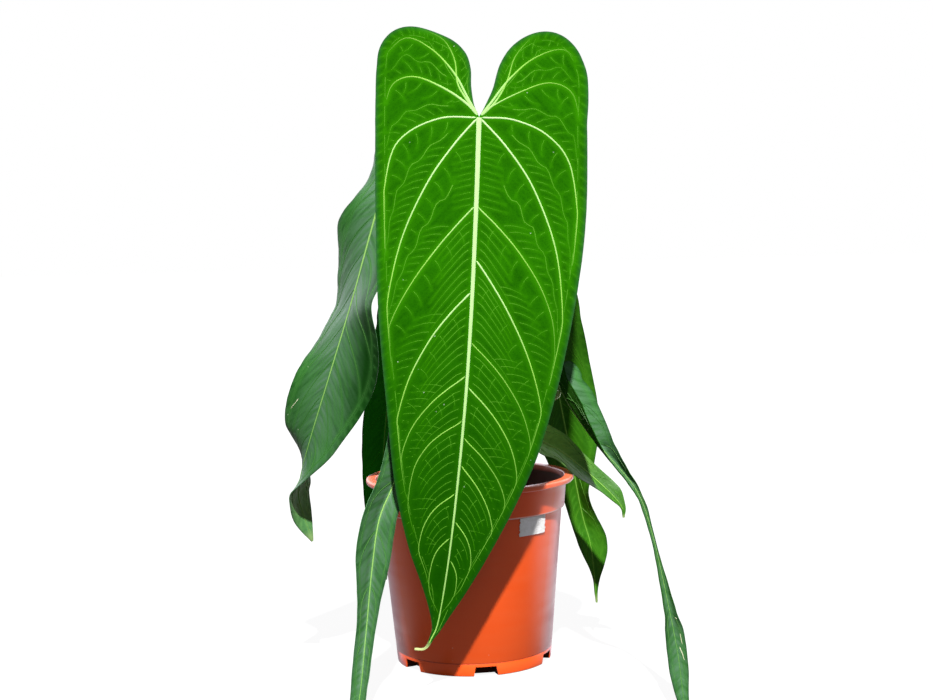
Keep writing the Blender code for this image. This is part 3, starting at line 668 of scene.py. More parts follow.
def net_group():
    """The finest veins: thin lines round small cells, from 0 to 1."""
    tree, place, scale, end = new_group("fine_net", "Lines", "Cells")
    inputs = {"Vector": place, "Scale": scale}
    edge = put(tree, "TexVoronoi", inputs, feature="DISTANCE_TO_EDGE").outputs["Distance"]
    tree.links.new(ramp(tree, edge, 0.0, 0.16, 1.0, 0.0), end.inputs["Lines"])
    tree.links.new(ramp(tree, edge, 0.0, 0.4), end.inputs["Cells"])
    return tree


def speck_group():
    """Sparse small specks of dust, from 0 to 1."""
    tree, place, scale, end = new_group("dust_specks", "Specks")
    cells = put(tree, "TexVoronoi", {"Vector": place, "Scale": scale}).outputs
    chosen = put(tree, "SeparateColor", {"Color": cells["Color"]}).outputs[0]
    dot = ramp(tree, cells["Distance"], 0.05, 0.12, 1.0, 0.0)
    tree.links.new(times(tree, ramp(tree, chosen, 0.97, 0.98), dot), end.inputs["Specks"])
    return tree


def streak_group():
    """Soft streaks that run out from the midrib and down, as a blade's side veins do, from 0 to 1."""
    tree, place, scale, end = new_group("leaf_streaks", "Streaks")
    flat = axes(tree, place)
    slant = times(tree, maths(tree, "ABSOLUTE", flat["X"]), 1.1)
    inputs = {"X": maths(tree, "SUBTRACT", flat["Y"], slant), "Y": times(tree, flat["X"], 0.22)}
    turned = put(tree, "CombineXYZ", inputs).outputs[0]
    cloud = put(tree, "TexNoise", {"Vector": turned, "Scale": scale, "Detail": 3.0})
    tree.links.new(ramp(tree, cloud.outputs[0], 0.32, 0.68), end.inputs["Streaks"])
    return tree


MOTTLE = mottle_group()
NET = net_group()
SPECKS = speck_group()
STREAKS = streak_group()


def placed(tree, group, place, scale):
    """The outputs of a group that is laid over those places at that scale."""
    return put(tree, "Group", {"Vector": place, "Scale": scale}, node_tree=group).outputs


def mottled(tree, place, scale):
    return placed(tree, MOTTLE, place, scale)[0]


def stretched(tree, place, scales):
    """Patches with a scale of their own along each axis."""
    return mottled(tree, put(tree, "Mapping", {"Vector": place, "Scale": scales}).outputs[0], 1.0)


def new_material(name, roughness, gloss=0.5, tint=(1, 1, 1, 1)):
    """A material and its tree, with the values that are the same all over set on its shader."""
    material = bpy.data.materials.new(name)
    material.use_nodes = True
    inputs = material.node_tree.nodes[SHADER].inputs
    for socket, value in (("Roughness", roughness), ("Specular IOR Level", gloss), ("Specular Tint", tint)):
        inputs[socket].default_value = value
    return material, material.node_tree


def finished(material, colour, height, strength, distance, rough=None):
    """The material with its colour, its bumps and, where that varies, its roughness linked up."""
    tree = material.node_tree
    inputs = tree.nodes[SHADER].inputs
    tree.links.new(colour, inputs["Base Color"])
    if rough is not None:
        tree.links.new(rough, inputs["Roughness"])
    bumps = put(tree, "Bump", {"Height": height, "Strength": strength, "Distance": distance})
    tree.links.new(bumps.outputs[0], inputs["Normal"])
    return material


class Skin(NamedTuple):
    """The colours of one face of a blade, and how strongly each marking shows."""

    deep: tuple
    body: tuple
    glow: tuple
    # The margin's colour: darker, and on the bright face bluish grey as painted sheen.
    edge: tuple
    roughness: float
    gloss: float
    tint: tuple = (1, 1, 1, 1)  # of the gloss
    streaks: float = 0.3
    # Painted shade: one half of the blade is darkened away from the midrib, the right half, or the left where
    # the value is below 0, over the span in centimetres given next.
    shade: float = 0.0  # how deep the blade's right half is, or its left half where less than 0
    shade_span: tuple = (0.8, 3.4)
    tip_depth: float = 0.0
    tip_from: float = 0.3
    pale_tip: float = 0.25
    # Painted sheen: a silvery band beside the midrib, in place of the reflection of bright surroundings.
    silver: tuple = (0.08, 0.145, 0.098)
    silver_share: float = 0.0  # how much of that colour lies beside the midrib


def blade_material(name, skin):
    """A blade's face: mottled, streaked, with glow beside the veins, a fine net, painted shade over one half,
    a painted sheen band beside the midrib and a darker edge, which on the bright face is bluish grey painted
    sheen.
    """
    material, tree = new_material(name, skin.roughness, skin.gloss, skin.tint)
    flat = put(tree, "UVMap", uv_map="flat").outputs[0]
    marks = put(tree, "Attribute", attribute_name="leaf_map").outputs
    near = put(tree, "SeparateColor", {"Color": marks["Color"]}).outputs
    streaks = placed(tree, STREAKS, flat, 1.5)[0]
    grain = mottled(tree, flat, 6.0)
    net = placed(tree, NET, flat, 2.4)
    right = axes(tree, flat)["X"]
    shaded = times(tree, right, math.copysign(1, skin.shade))
    painted_sheen_band = ramp(tree, maths(tree, "ABSOLUTE", right), 0.5, 3.4, skin.silver_share, 0)
    beside_veins = maths(tree, "MAXIMUM", times(tree, near["Red"], 0.8), times(tree, near["Green"], 0.5))
    lower = (skin.tip_from, skin.tip_from + 0.5, 0, skin.tip_depth)
    colour = layered(
        tree,
        skin.deep,
        (ramp(tree, mottled(tree, flat, 0.4), 0, 1, 0.25, 1), skin.body),
        (times(tree, streaks, skin.streaks), skin.glow),
        (ramp(tree, streaks, 0, 0.5, skin.streaks, 0), skin.deep),
        (times(tree, grain, 0.25), skin.body),
        (times(tree, net["Lines"], FINE_NET_SHARE), skin.glow),
        # painted shade over one half
        (ramp(tree, shaded, *skin.shade_span, 0, abs(skin.shade)), skin.deep),
        # painted sheen beside the midrib
        (times(tree, painted_sheen_band, ramp(tree, streaks, 0.1, 0.8, 0.35, 1)), skin.silver),
        (beside_veins, skin.glow),
        # darker margin, on the bright face bluish grey painted sheen
        (times(tree, near["Blue"], 0.85), skin.edge),
        (ramp(tree, marks["Alpha"], *lower), skin.deep),
        (times(tree, placed(tree, SPECKS, flat, 1.6)[0], 0.4), (0.5, 0.55, 0.45)),
        (ramp(tree, marks["Alpha"], 0.965, 0.99, 0, skin.pale_tip), (0.50, 0.58, 0.25)),
    )
    height = plus(tree, net["Cells"], times(tree, grain, 0.25))
    height = plus(tree, height, times(tree, streaks, skin.streaks))
    rough = ramp(tree, grain, 0, 1, skin.roughness - 0.05, skin.roughness + 0.07)
    return finished(material, colour, height, 0.16, 0.0003, rough)


def vein_material(name, pale, lime, green, roughness, gloss):
    """Veins are pale where they are thick, then lime, and fade into the blade's own green."""
    material, tree = new_material(name, roughness, gloss)
    fade = put(tree, "Attribute", attribute_name="fade").outputs["Fac"]
    patches = mottled(tree, object_place(tree), 90.0)
    share = plus(tree, fade, times(tree, patches, 0.06))
    colour = layered(tree, pale, (ramp(tree, share, 0.05, 0.45), lime), (ramp(tree, share, 0.45, 1), green))
    return finished(material, colour, patches, 0.15, 0.0003)


def leaf_materials(name, face, under, vein):
    """The skins of a leaf's face, of its underside and of its veins, which two kinds of leaf may share."""
    vein_skin = bpy.data.materials.get(vein[0]) or vein_material(*vein)
    return blade_material("leaf_" + name, face), blade_material(f"leaf_{name}_under", under), vein_skin


def fibrous_material(name, roughness, gloss, patches, fibres, bumps, freckles=0):
    """Patches (scale, two colours) under drawn-out fibres (scales, share, colour), and corky freckles."""
    material, tree = new_material(name, roughness, gloss)
    place = object_place(tree)
    scale, base, light = patches
    scales, share, over = fibres
    lines = stretched(tree, place, scales)
    dots = times(tree, placed(tree, SPECKS, place, 520.0)[0], freckles)
    colour = layered(
        tree,
        base,
        (mottled(tree, place, scale), light),
        (times(tree, lines, share), over),
        (dots, (0.42, 0.38, 0.20)),
    )
    return finished(material, colour, lines, *bumps)


def inside_pot(tree, place, height):
    """1 on the wall's inner face and in the drain notches, which are darkened by soil stain and painted
    shade.
    """
    axis_free = put(tree, "VectorMath", {0: place, 1: (1, 1, 0)}, operation="MULTIPLY").outputs[0]
    radius = put(tree, "VectorMath", {0: axis_free}, operation="LENGTH").outputs["Value"]
    slope = (BODY_TOP_RADIUS - SEAM_RADIUS) / (COLLAR_FOOT_Z - SEAM_Z)
    body = plus(tree, times(tree, height, slope), (SEAM_RADIUS - slope * SEAM_Z) * MM)
    above = maths(tree, "GREATER_THAN", height, (COLLAR_FOOT_Z - 0.5) * MM)
    collar = times(tree, above, (COLLAR_FOOT_RADIUS - BODY_TOP_RADIUS) * MM)
    depth = maths(tree, "SUBTRACT", plus(tree, body, collar), radius)
    below_lip = ramp(tree, height, (POT_HEIGHT - 6) * MM, (POT_HEIGHT - 2) * MM, 1, 0)
    return times(tree, ramp(tree, depth, 0.0009, 0.0012), below_lip)


def pot_material(name, gloss):
    """Satin moulded plastic: uneven colour, faint rub marks, dust specks, a lip dulled by dust and painted
    shade, soil stain and painted shade inside, a painted highlight under the collar, painted shade in the
    seam and painted sheen at grazing edges.
    """
    material, tree = new_material(name, 0.38, gloss)
    place = object_place(tree)
    height = axes(tree, place)["Z"]
    patches = mottled(tree, place, 11.0)
    bands = stretched(tree, place, (18, 18, 130))
    grain = mottled(tree, place, 900.0)
    off_seam, off_collar = (
        maths(tree, "ABSOLUTE", maths(tree, "SUBTRACT", height, z * MM))
        for z in (SEAM_Z, COLLAR_FOOT_Z + 0.3)
    )
    lip = ((POT_HEIGHT - LIP_DEPTH) * MM, (POT_HEIGHT - 0.5) * MM)
    # Soil stain and painted shade: the inner wall and the notches turn near black.
    shade_and_stain = times(tree, inside_pot(tree, place, height), ramp(tree, patches, 0, 1, 0.9, 0.97))
    outer_below_lip = maths(tree, "SUBTRACT", ramp(tree, height, *lip, 1, 0), shade_and_stain)
    # Painted sheen: where the outer wall is seen at a grazing angle it is tinted pale lavender, in place of
    # the reflection of bright surroundings.
    facing = put(tree, "LayerWeight", {"Blend": 0.5}).outputs["Facing"]
    painted_edge_sheen = times(tree, ramp(tree, facing, 0.55, 0.9, 0, 0.7), maths(tree, "MAXIMUM", outer_below_lip, 0.0))
    colour = layered(
        tree,
        (0.78, 0.078, 0.006),
        (patches, (0.87, 0.095, 0.008)),
        (times(tree, bands, 0.2), (0.80, 0.13, 0.03)),
        (times(tree, placed(tree, SPECKS, place, 150.0)[0], 0.35), (0.8, 0.6, 0.5)),
        # Painted shade: a dark line in the seam's groove.
        (ramp(tree, off_seam, 0.0002, 0.0009, 0.6, 0), (0.25, 0.025, 0.006)),
        # Painted highlight: a pale line along the collar's lower edge.
        (ramp(tree, off_collar, 0.0005, 0.0012, 0.7, 0), (0.9, 0.55, 0.5)),
        # The lip is dulled and darkened, partly dust and partly painted shade.
        (ramp(tree, height, *lip, 0, 0.55), (0.36, 0.13, 0.075)),
        # soil stain and painted shade inside
        (shade_and_stain, (0.022, 0.012, 0.010)),
        # painted sheen at grazing edges
        (painted_edge_sheen, (0.75, 0.45, 0.62)),
    )
    rough = plus(tree, ramp(tree, bands, 0, 1, 0.31, 0.44), times(tree, grain, 0.05))
    rough = plus(tree, rough, times(tree, shade_and_stain, 0.55))
    return finished(material, colour, plus(tree, times(tree, bands, 0.5), grain), 0.12, 0.0002, rough)


def mix_material(name, dark, light, scale):
    """Damp bark and peat, or pale grit: broken colour and a crumbly surface."""
    material, tree = new_material(name, 0.92, 0.25)
    place = object_place(tree)
    crumbs = mottled(tree, place, scale * 6)
    colour = mix(tree, times(tree, mottled(tree, place, scale), crumbs), dark, light)
    return finished(material, colour, crumbs, 0.8, 0.0012)


# Meshes


def new_object(name, data):
    made = bpy.data.objects.new(name, data)
    bpy.context.scene.collection.objects.link(made)
    return made


def solid(bm, name, scale=MM):
    """The bmesh as an object in metres."""
    bmesh.ops.scale(bm, vec=(scale, scale, scale), verts=bm.verts)
    mesh = bpy.data.meshes.new(name)
    bm.to_mesh(mesh)
    bm.free()
    return new_object(name, mesh)


def piece(bm, name, materials, node, smooth_deg):
    """The bmesh as a piece that rides with the part and stands for its CAD node."""
    made = solid(bm, name)
    made.data.shade_smooth()
    made.data.set_sharp_from_angle(angle=math.radians(smooth_deg))
    for material in materials:
        made.data.materials.append(material)
    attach(made, "root")
    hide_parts(node)
    return made


def close(bm, reach=JOIN):
    """Joins points that lie within that reach and turns every face outward."""
    bmesh.ops.remove_doubles(bm, verts=bm.verts, dist=reach)
    bmesh.ops.recalc_face_normals(bm, faces=bm.faces)


def heading(degrees):
    angle = math.radians(degrees)
    return Vector((math.cos(angle), math.sin(angle), 0))


class Half:
    """One half of a blade's flat pattern."""

    def __init__(self, leaf, length, side):
        self.side = side
        self.length = length
        self.table = leaf.right if side > 0 else leaf.left
        self.veins = leaf.veins[side > 0]
        self.bold = leaf.bold[side > 0]
        self.inset = min(MARGIN_INSET, 0.2 * self.table[0][1])
        steps = max(6, round(length / MARGIN_STEP))
        shape = [(0, 0, 0), *((u, s, 0) for u, s in leaf.lobes[side > 0])]
        shape += [(blend(self.table, i / steps), length * i / steps, 0) for i in range(steps + 1)]
        self.margin = Path(shape)
        points = self.margin.resampled(0.5)
        top = min(range(len(points)), key=lambda i: points[i].y)
        self.top = -points[top].y
        self.inner = ([p.y for p in points[top::-1]], [p.x for p in points[top::-1]])
        self.outer = ([p.y for p in points[top:]], [p.x for p in points[top:]])

    def reach(self, s):
        """How far from the midrib the half starts and ends at that distance below the stalk."""
        outer = float(np.interp(s, *self.outer))
        return (float(np.interp(s, *self.inner)) if s < 0 else 0.0, outer)


class Vein(NamedTuple):
    line: tuple  # (u, s) points in the flat pattern
    width: tuple  # at its start and its end
    rise: tuple
    fade: tuple  # 0 is the palest and 1 the greenest


def between(ends, share):
    return ends[0] + (ends[1] - ends[0]) * share


def flat_path(line):
    return Path([(u, s, 0) for u, s in line], FLAT_PIECES)


def main_veins(half, leaf):
    """The half's main veins, drawn on to the midrib and out to the vein that runs inside the margin."""
    veins = []
    for i, line in enumerate(half.veins):
        bold = half.bold[i] if i < len(half.bold) else FAINT
        (u, s), (end_u, end_s) = line[0], line[-1]
        if u > NEAR_MIDRIB:
            line = ((0.4, 0.4), (0.45 * u, 0.42 * s), *line)
        else:
            line = ((0.4, max(s - 5, 0.4)), *line)
        if 0 < end_s < half.length - BY_MARGIN_ROOM:
            first, second = (end_s + ahead for ahead in BY_MARGIN)
            beside, along = (half.reach(place)[1] - half.inset for place in (first, second))
            line = (*line, (0.6 * end_u + 0.4 * beside, first), (along, second))
        kept = []
        for p in flat_path(line).resampled(6):
            inner, outer = half.reach(p.y)
            kept.append((max(inner + 0.4, min(p.x, outer - min(0.9 * half.inset, 0.3 * outer))), p.y))
        width = leaf.vein_width * (0.35 + 0.65 * bold)
        thick = LOBE_VEIN_START if end_s < 0 else 1
        fade = 0.03 + (0.4 if end_s < 0 else 0.75) * (1 - bold)
        fades = (fade, min(1, fade + 0.75))
        veins.append(Vein(tuple(kept), (thick * width, 0.45 * width), VEIN_RISE, fades))
    return veins


def flat(points):
    return [(p.x, p.y) for p in points]


def bent(p, q, rng):
    middle = (p + q) / 2 + Vector((rng.uniform(-1, 1), rng.uniform(-1, 1), 0))
    return flat((p, middle, q))


class Net:
    """The finer veins of one half of a blade."""

    def __init__(self, half, leaf, mains, rng):
        self.half = half
        self.rng = rng
        self.front = leaf.name == "front"
        self.width = FRONT_NET_WIDTH if self.front else NET_WIDTH
        self.paths = [flat_path(vein) for vein in half.veins]
        self.stops = [(1, vein.line) for vein in mains] + [(1, ((0, 0), (0, half.length)))]
        self.tree = flat_tree(self.stops, 1.0)
        places = [(path, distance) for path in self.paths for distance in np.arange(1, path.length, 3)]
        self.ways = [path.direction(distance) for path, distance in places]
        self.guides = kdtree.KDTree(len(places))
        for i, (path, distance) in enumerate(places):
            self.guides.insert(path.at(distance), i)
        self.guides.balance()
        self.veins = []

    def add(self, line, scale, fade):
        for u, s in line:
            inner, outer = self.half.reach(s)
            if not inner + NET_FROM_RIM < u < outer - NET_FROM_RIM:
                return
        width = self.width * scale
        self.veins.append(Vein(tuple(line), (width, NARROWS_TO * width), FINE_RISE, fade))

    def vary(self):
        return self.rng.uniform(0.85, 1.15)

    def grow(self, start, way, bend, aim, limit, fade):
        """A veinlet that bends little by little towards its aim, until it meets another vein."""
        place, line = start, [start]
        for i in range(round(limit / NET_STEP)):
            way = way.lerp(aim(place), bend).normalized()
            ahead = place + way * NET_STEP
            inner, outer = self.half.reach(ahead.y)
            if not inner + 1 < ahead.x < outer - 0.8 * self.half.inset:
                break
            place = ahead
            line.append(place)
            if i > 1 and self.tree.find(place)[2] < 1:
                break
        if len(line) > 3:
            self.add(flat(line[:-1:3] + [line[-1]]), VEINLET_WIDTH, fade)

    def course(self, place):
        """The way that the nearest main vein runs."""
        return self.ways[self.guides.find(place)[1]]

    def add_rails(self):
        """Wandering lines midway between the broad leaf's upper main veins."""
        for first, second in zip(self.paths, self.paths[1:]):
            middles = first.at_share(0.5), second.at_share(0.5)
            gap = (middles[0] - middles[1]).length
            if gap < RAIL_GAP or middles[1].y > RAIL_LOWEST:
                continue
            count = round((first.length + second.length) / 2 / RAIL_STEP)
            rail = []
            for i in range(count + 1):
                t = 0.14 + 0.82 * i / count
                share = 0.5 + (1 if i % 2 else -1) * self.rng.uniform(1, 3.6) / gap
                rail.append(first.at_share(t).lerp(second.at_share(t), share))
            self.add(flat(rail), 1.0, (0.8, 0.92))
            self.stops.append((1, flat(rail)))
        self.tree = flat_tree(self.stops, 1.0)

    def add_parallels(self):
        """Veinlets that leave the midrib: nearly square on high up, beside the main veins lower down."""
        length = self.half.length
        sides = [path for path in self.paths if path.at(0).x < NEAR_MIDRIB and path.at(0).y > 20]
        broad = sides[0].at(0).y
        s = 7
        while s < broad:
            way = Vector((1, 0.25, 0)).normalized()
            aim = lambda place: self.course(place).lerp(Vector((1, 0, 0)), 0.6)
            limit = min(26, 0.7 * self.half.table[0][1]) * self.rng.uniform(0.75, 1.1)
            self.grow(Vector((NET_FROM_MIDRIB, s, 0)), way, 0.16, aim, limit, (0.86, 1))
            s += HIGH_VEINLET_STEP * self.vary()
        for first, second in zip(sides, sides[1:]):
            gap = second.at(0).y - first.at(0).y
            count = max(2, round(gap / PARALLEL_STEP))
            for k in range(1, count):
                share = (k + self.rng.uniform(-0.15, 0.15)) / count
                low = min(max((first.at(0).y + gap * share) / length * 2.2 - 0.5, 0), 1)
                end = (0.35 + 0.5 * low) * self.rng.uniform(0.75, 1)
                shares = [end * i / PARALLEL_POINTS for i in range(PARALLEL_POINTS + 1)]
                line = [first.at_share(t).lerp(second.at_share(t), share) for t in shares]
                line[0].x = NET_FROM_MIDRIB
                self.add(flat(line), 0.95, (0.84, 1))

    def add_arches(self):
        """Veinlets that leave a main vein nearly square on, both ways, and turn to run beside it."""
        for path in self.paths:
            distance = 0.16 * path.length
            turn = 0
            while distance < path.length - 5:
                place, along = path.at(distance), path.direction(distance)
                out = Vector((along.y, -along.x, 0))
                for side, limit in ARCH_LENGTHS:
                    if side < 0 and turn % 2:
                        continue
                    way = (out * side + along * 0.3 * side).normalized()
                    aim = lambda place, along=along, out=out, side=side: along + out * 0.4 * side
                    self.grow(place + way, way, 0.13, aim, limit, (0.82, 1))
                distance += ARCH_STEP * self.vary()
                turn += 1

    def add_marginal(self):
        """The vein that runs inside the margin, with veinlets out to the margin."""
        margin = self.half.margin
        rail = []
        distance = RIM_END
        while distance < margin.length - RIM_END:
            p = margin.at(distance)
            along = margin.direction(distance)
            inward = Vector((-along.y, along.x, 0))
            knot = p + inward * min(self.half.inset, 0.45 * p.x)
            rail.append((knot.x, knot.y))
            if distance > RIM_VEINLETS_FROM:
                end = margin.at(distance + 4) + inward * 1.2
                self.add(bent(knot, end, self.rng), 0.6, (0.9, 1))
            distance += RIM_STEP * self.vary()
        for start in range(0, len(rail) - 3, 3):
            self.add(rail[start : start + 4], 0.8, (0.84, 0.84))


def net_veins(half, leaf, mains, rng):
    net = Net(half, leaf, mains, rng)
    if net.front:
        net.add_rails()
        net.add_arches()
    net.add_parallels()
    net.add_marginal()
    return net.veins


def flat_tree(lines, step):
    """A tree that finds how near a flat place is to any of the lines."""
    points = []
    for side, line in lines:
        points += [(side * p.x, p.y, 0) for p in flat_path(line).resampled(step)]
    tree = kdtree.KDTree(len(points))
    for i, point in enumerate(points):
        tree.insert(point, i)
    tree.balance()
    return tree


def nearness(tree, u, s, width):
    distance = tree.find((u, s, 0))[2]
    return math.exp(-((distance / width) ** 2))


class Relief:
    """How far the blade stands off its middle surface: cushions between main veins, a fluttering margin."""

    def __init__(self, leaf, surface, halves, mains):
        self.seed = leaf.socket_deg
        middle = (1, ((0, 0), (0, surface.length)))
        self.mains = flat_tree([(side, vein.line) for side, vein in mains] + [middle], 1.2)
        rims = [(half.side, flat(half.margin.resampled(4))) for half in halves]
        self.rims = flat_tree(rims, 1.5)

    def to_rim(self, u, s):
        return self.rims.find((u, s, 0))[2]

    def height(self, u, s):
        rim = self.to_rim(u, s)
        place = (s / FLUTTER_LENGTH, u / FLUTTER_BREADTH, self.seed)
        flutter = FLUTTER * math.exp(-rim / FLUTTER_REACH) * noise.noise(place)
        return PUCKER * (1 - nearness(self.mains, u, s, PUCKER_REACH)) * min(1, rim / FLAT_RIM) + flutter


class Tubes:
    """Closed tubes of flattened rings, gathered into one piece."""

    def __init__(self):
        self.bm = bmesh.new()
        self.fade = self.bm.verts.layers.float.new("fade")

    def sweep(self, stations, sides):
        """A tube through stations (centre, half across, half up, fade)."""
        last = len(stations) - 1
        made = bmesh.ops.create_grid(self.bm, x_segments=sides, y_segments=last, size=1)["verts"]
        for vert in made:
            angle = math.pi * (vert.co.x + 1)
            centre, across, up, fade = stations[round((vert.co.y + 1) / 2 * last)]
            vert.co = centre + across * math.cos(angle) + up * math.sin(angle)
            vert[self.fade] = fade

    def add_vein(self, surface, relief, side, vein):
        """One vein as a slim tube, half sunk in the blade."""
        path = flat_path(vein.line)
        count = max(3, round(path.length / VEIN_STEP))
        stations = []
        for i in range(count + 1):
            share = i / count
            p = path.at_share(share)
            u, s = side * p.x, p.y
            normal = surface.normal(u, s)
            along = path.direction(path.length * share)
            ahead = surface.point(u + side * along.x, s + along.y) - surface.point(u, s)
            across = ahead.cross(normal).normalized()
            size = TUBE_END if i in (0, count) else 1
            half_width = 0.5 * between(vein.width, share) * size
            centre = surface.point(u, s) + normal * relief.height(u, s)
            rise = BLADE_THICKNESS / 2 + vein.rise[0] + (vein.rise[1] - vein.rise[0]) * share
            fade = between(vein.fade, share**FADE_POWER)
            stations.append((centre, across * half_width, normal * rise * size, fade))
        self.sweep(stations, VEIN_SIDES)

    def finish(self, name, material, node, smooth_deg=80):
        close(self.bm)
        piece(self.bm, name, [material], node, smooth_deg)


def add_scars(leaf, surface, relief, material):
    """Pale dry scratches in the skin."""
    scars = [(line, width) for name, line, width in SCARS if name == leaf.name]
    if not scars:
        return
    tubes = Tubes()
    for line, width in scars:
        scar = Vein(line, (width, NARROWS_TO * width), SCAR_RISE, (0, 0))
        tubes.add_vein(surface, relief, 1, scar)
    tubes.finish("scars_" + leaf.name, material, "leaf_" + leaf.name)


def add_veins(leaf, surface, relief, veins, material):
    """All of a leaf's veins, with the midrib."""
    tubes = Tubes()
    for side, vein in veins:
        tubes.add_vein(surface, relief, side, vein)
    stations = []
    count = round(surface.length / 6)
    starts = [0.2, 0.9, 2.5, *(6 + (surface.length - 9) * i / count for i in range(count + 1))]
    for i, s in enumerate(starts):
        share = s / surface.length
        normal, side = surface.normal(0, s), surface.row(s)[2]
        taper = 1 - 0.8 * share
        size = TUBE_END if i in (0, len(starts) - 1) else 1
        half_width = MIDRIB_WIDTH * leaf.vein_width * taper * size
        up = (MIDRIB_RISE + MIDRIB_DROP) * taper / 2 + BLADE_THICKNESS / 2
        sink = (MIDRIB_DROP - MIDRIB_RISE) * taper / 2
        centre = surface.point(0, s) - normal * sink
        stations.append((centre, side * half_width, normal * up * size, 0.1 + 0.3 * share**2))
    tubes.sweep(stations, MIDRIB_SIDES)
    tubes.finish("veins_" + leaf.name, material, "leaf_" + leaf.name)


def add_blade(leaf, surface, halves, relief, fines, materials):
    """The blade as one closed skin: a fine grid for each half, puckered between its veins."""
    bm = bmesh.new()
    flat_u = bm.verts.layers.float.new("flat_u")
    flat_s = bm.verts.layers.float.new("flat_s")
    marks = bm.verts.layers.float_color.new("leaf_map")
    out = bm.verts.layers.float_vector.new("out")
    top = max(half.top for half in halves)
    lobe_rows = round(leaf.rows * 2 * top / (2 * top + surface.length))
    turn_over = lobe_rows / leaf.rows
    for half in halves:
        made = bmesh.ops.create_grid(bm, x_segments=leaf.columns, y_segments=leaf.rows, size=1)["verts"]
        for vert in made:
            share, along = (vert.co.x + 1) / 2, (vert.co.y + 1) / 2
            if along < turn_over - 1e-6:
                s = -half.top * (1 - (along / turn_over) ** 2)
            else:
                s = surface.length * (along - turn_over) / (1 - turn_over)
            inner, outer = half.reach(s)
            u = half.side * (inner + (outer - inner) * share)
            vert[flat_u], vert[flat_s] = u, s
            vert.co = surface.point(u, s)
    close(bm, 2 * JOIN)
    middle = max(bm.verts, key=lambda v: -abs(v[flat_s] - surface.length / 2) - abs(v[flat_u]) / 9)
    bm.normal_update()
    if middle.normal.dot(surface.row(surface.length / 2)[1]) < 0:
        bmesh.ops.reverse_faces(bm, faces=bm.faces)
        bm.normal_update()

    fine_tree = flat_tree([(side, vein.line) for side, vein in fines], 1.0)
    for vert in bm.verts:
        u, s = vert[flat_u], vert[flat_s]
        vert[out] = vert.normal
        vert[marks] = (
            nearness(relief.mains, u, s, GLOW_REACH * leaf.vein_width),
            nearness(fine_tree, u, s, FINE_GLOW_REACH),
            math.exp(-relief.to_rim(u, s) / EDGE_REACH) * (1 - math.exp(-(u * u + s * s) / 150)),
            min(max(s / surface.length, 0), 1),
        )
        vert.co += vert.normal * relief.height(u, s)
    upper = list(bm.verts)
    copied = bmesh.ops.duplicate(bm, geom=bm.verts[:] + bm.edges[:] + bm.faces[:])["geom"]
    under = [v for v in copied if isinstance(v, bmesh.types.BMVert)]
    under_faces = [f for f in copied if isinstance(f, bmesh.types.BMFace)]
    bmesh.ops.reverse_faces(bm, faces=under_faces)
    for face in under_faces:
        face.material_index = 1
    for verts, way in ((upper, 1), (under, -1)):
        for vert in verts:
            thin = 1 - MARGIN_THIN * vert[marks][2]
            vert.co += vert[out] * (way * BLADE_THICKNESS / 2 * thin)
    bmesh.ops.bridge_loops(bm, edges=[e for e in bm.edges if e.is_boundary])
    made = piece(bm, "blade_" + leaf.name, materials, "leaf_" + leaf.name, 60)

    mesh = made.data
    places = np.empty((len(mesh.vertices), 2), np.float32)
    for column, name in enumerate(("flat_u", "flat_s")):
        values = np.empty(len(mesh.vertices), np.float32)
        mesh.attributes[name].data.foreach_get("value", values)
        places[:, column] = values / 10
    corners = np.empty(len(mesh.loops), np.int32)
    mesh.loops.foreach_get("vertex_index", corners)
    mesh.uv_layers.new(name="flat").data.foreach_set("uv", places[corners].ravel())


def stalk_path(leaf, surface):
    """From the leaf's socket in the crown to the underside of the blade, which it meets square on."""
    face = surface.normal(0, STALK_MEETS_BLADE)
    out = heading(leaf.socket_deg)
    foot = out * SOCKET_CIRCLE + Vector((0, 0, SOCKET_Z))
    leaves_crown = out * STALK_LEAVES_CROWN_OUT + Vector((0, 0, STALK_LEAVES_CROWN_Z))
    end = surface.point(0, STALK_MEETS_BLADE) - face * STALK_STANDOFF
    return Path((foot, leaves_crown, *leaf.stalk, end - face * STALK_STRAIGHT_END, end))


def add_stalk(leaf, surface, material):
    """A stalk, thick where it sheathes the crown, slim, then swollen at the joint below the blade."""
    path = stalk_path(leaf, surface)
    count = max(30, round(path.length / 4))
    across = Vector((1, 0, 0))
    stations = []
    for i in range(count + 1):
        share = i / count
        way = path.direction(path.length * share)
        across = (across - way * across.dot(way)).normalized()
        radius = blend(STALK_THICKNESS, share) * (TUBE_END if i in (0, count) else 1)
        if share > 0.9:
            radius *= 1 + 0.025 * math.sin(share * path.length * 2.2)
        stations.append((path.at_share(share), across * radius, way.cross(across) * radius, share))
    tubes = Tubes()
    tubes.sweep(stations, STALK_SIDES)
    tubes.finish("petiole_" + leaf.name, material, "stalk_" + leaf.name, 70)


def add_leaf(leaf, look, stalk_skin, scar_skin):
    surface = Surface(leaf)
    halves = [Half(leaf, surface.length, side) for side in (-1, 1)]
    rng = random.Random(leaf.name)
    mains, fines = [], []
    for half in halves:
        drawn = main_veins(half, leaf)
        mains += [(half.side, vein) for vein in drawn]
        fines += [(half.side, vein) for vein in net_veins(half, leaf, drawn, rng)]
    relief = Relief(leaf, surface, halves, mains)
    *faces, vein = look
    add_blade(leaf, surface, halves, relief, fines, faces)
    add_veins(leaf, surface, relief, mains + fines, vein)
    add_scars(leaf, surface, relief, scar_skin)
    add_stalk(leaf, surface, stalk_skin)


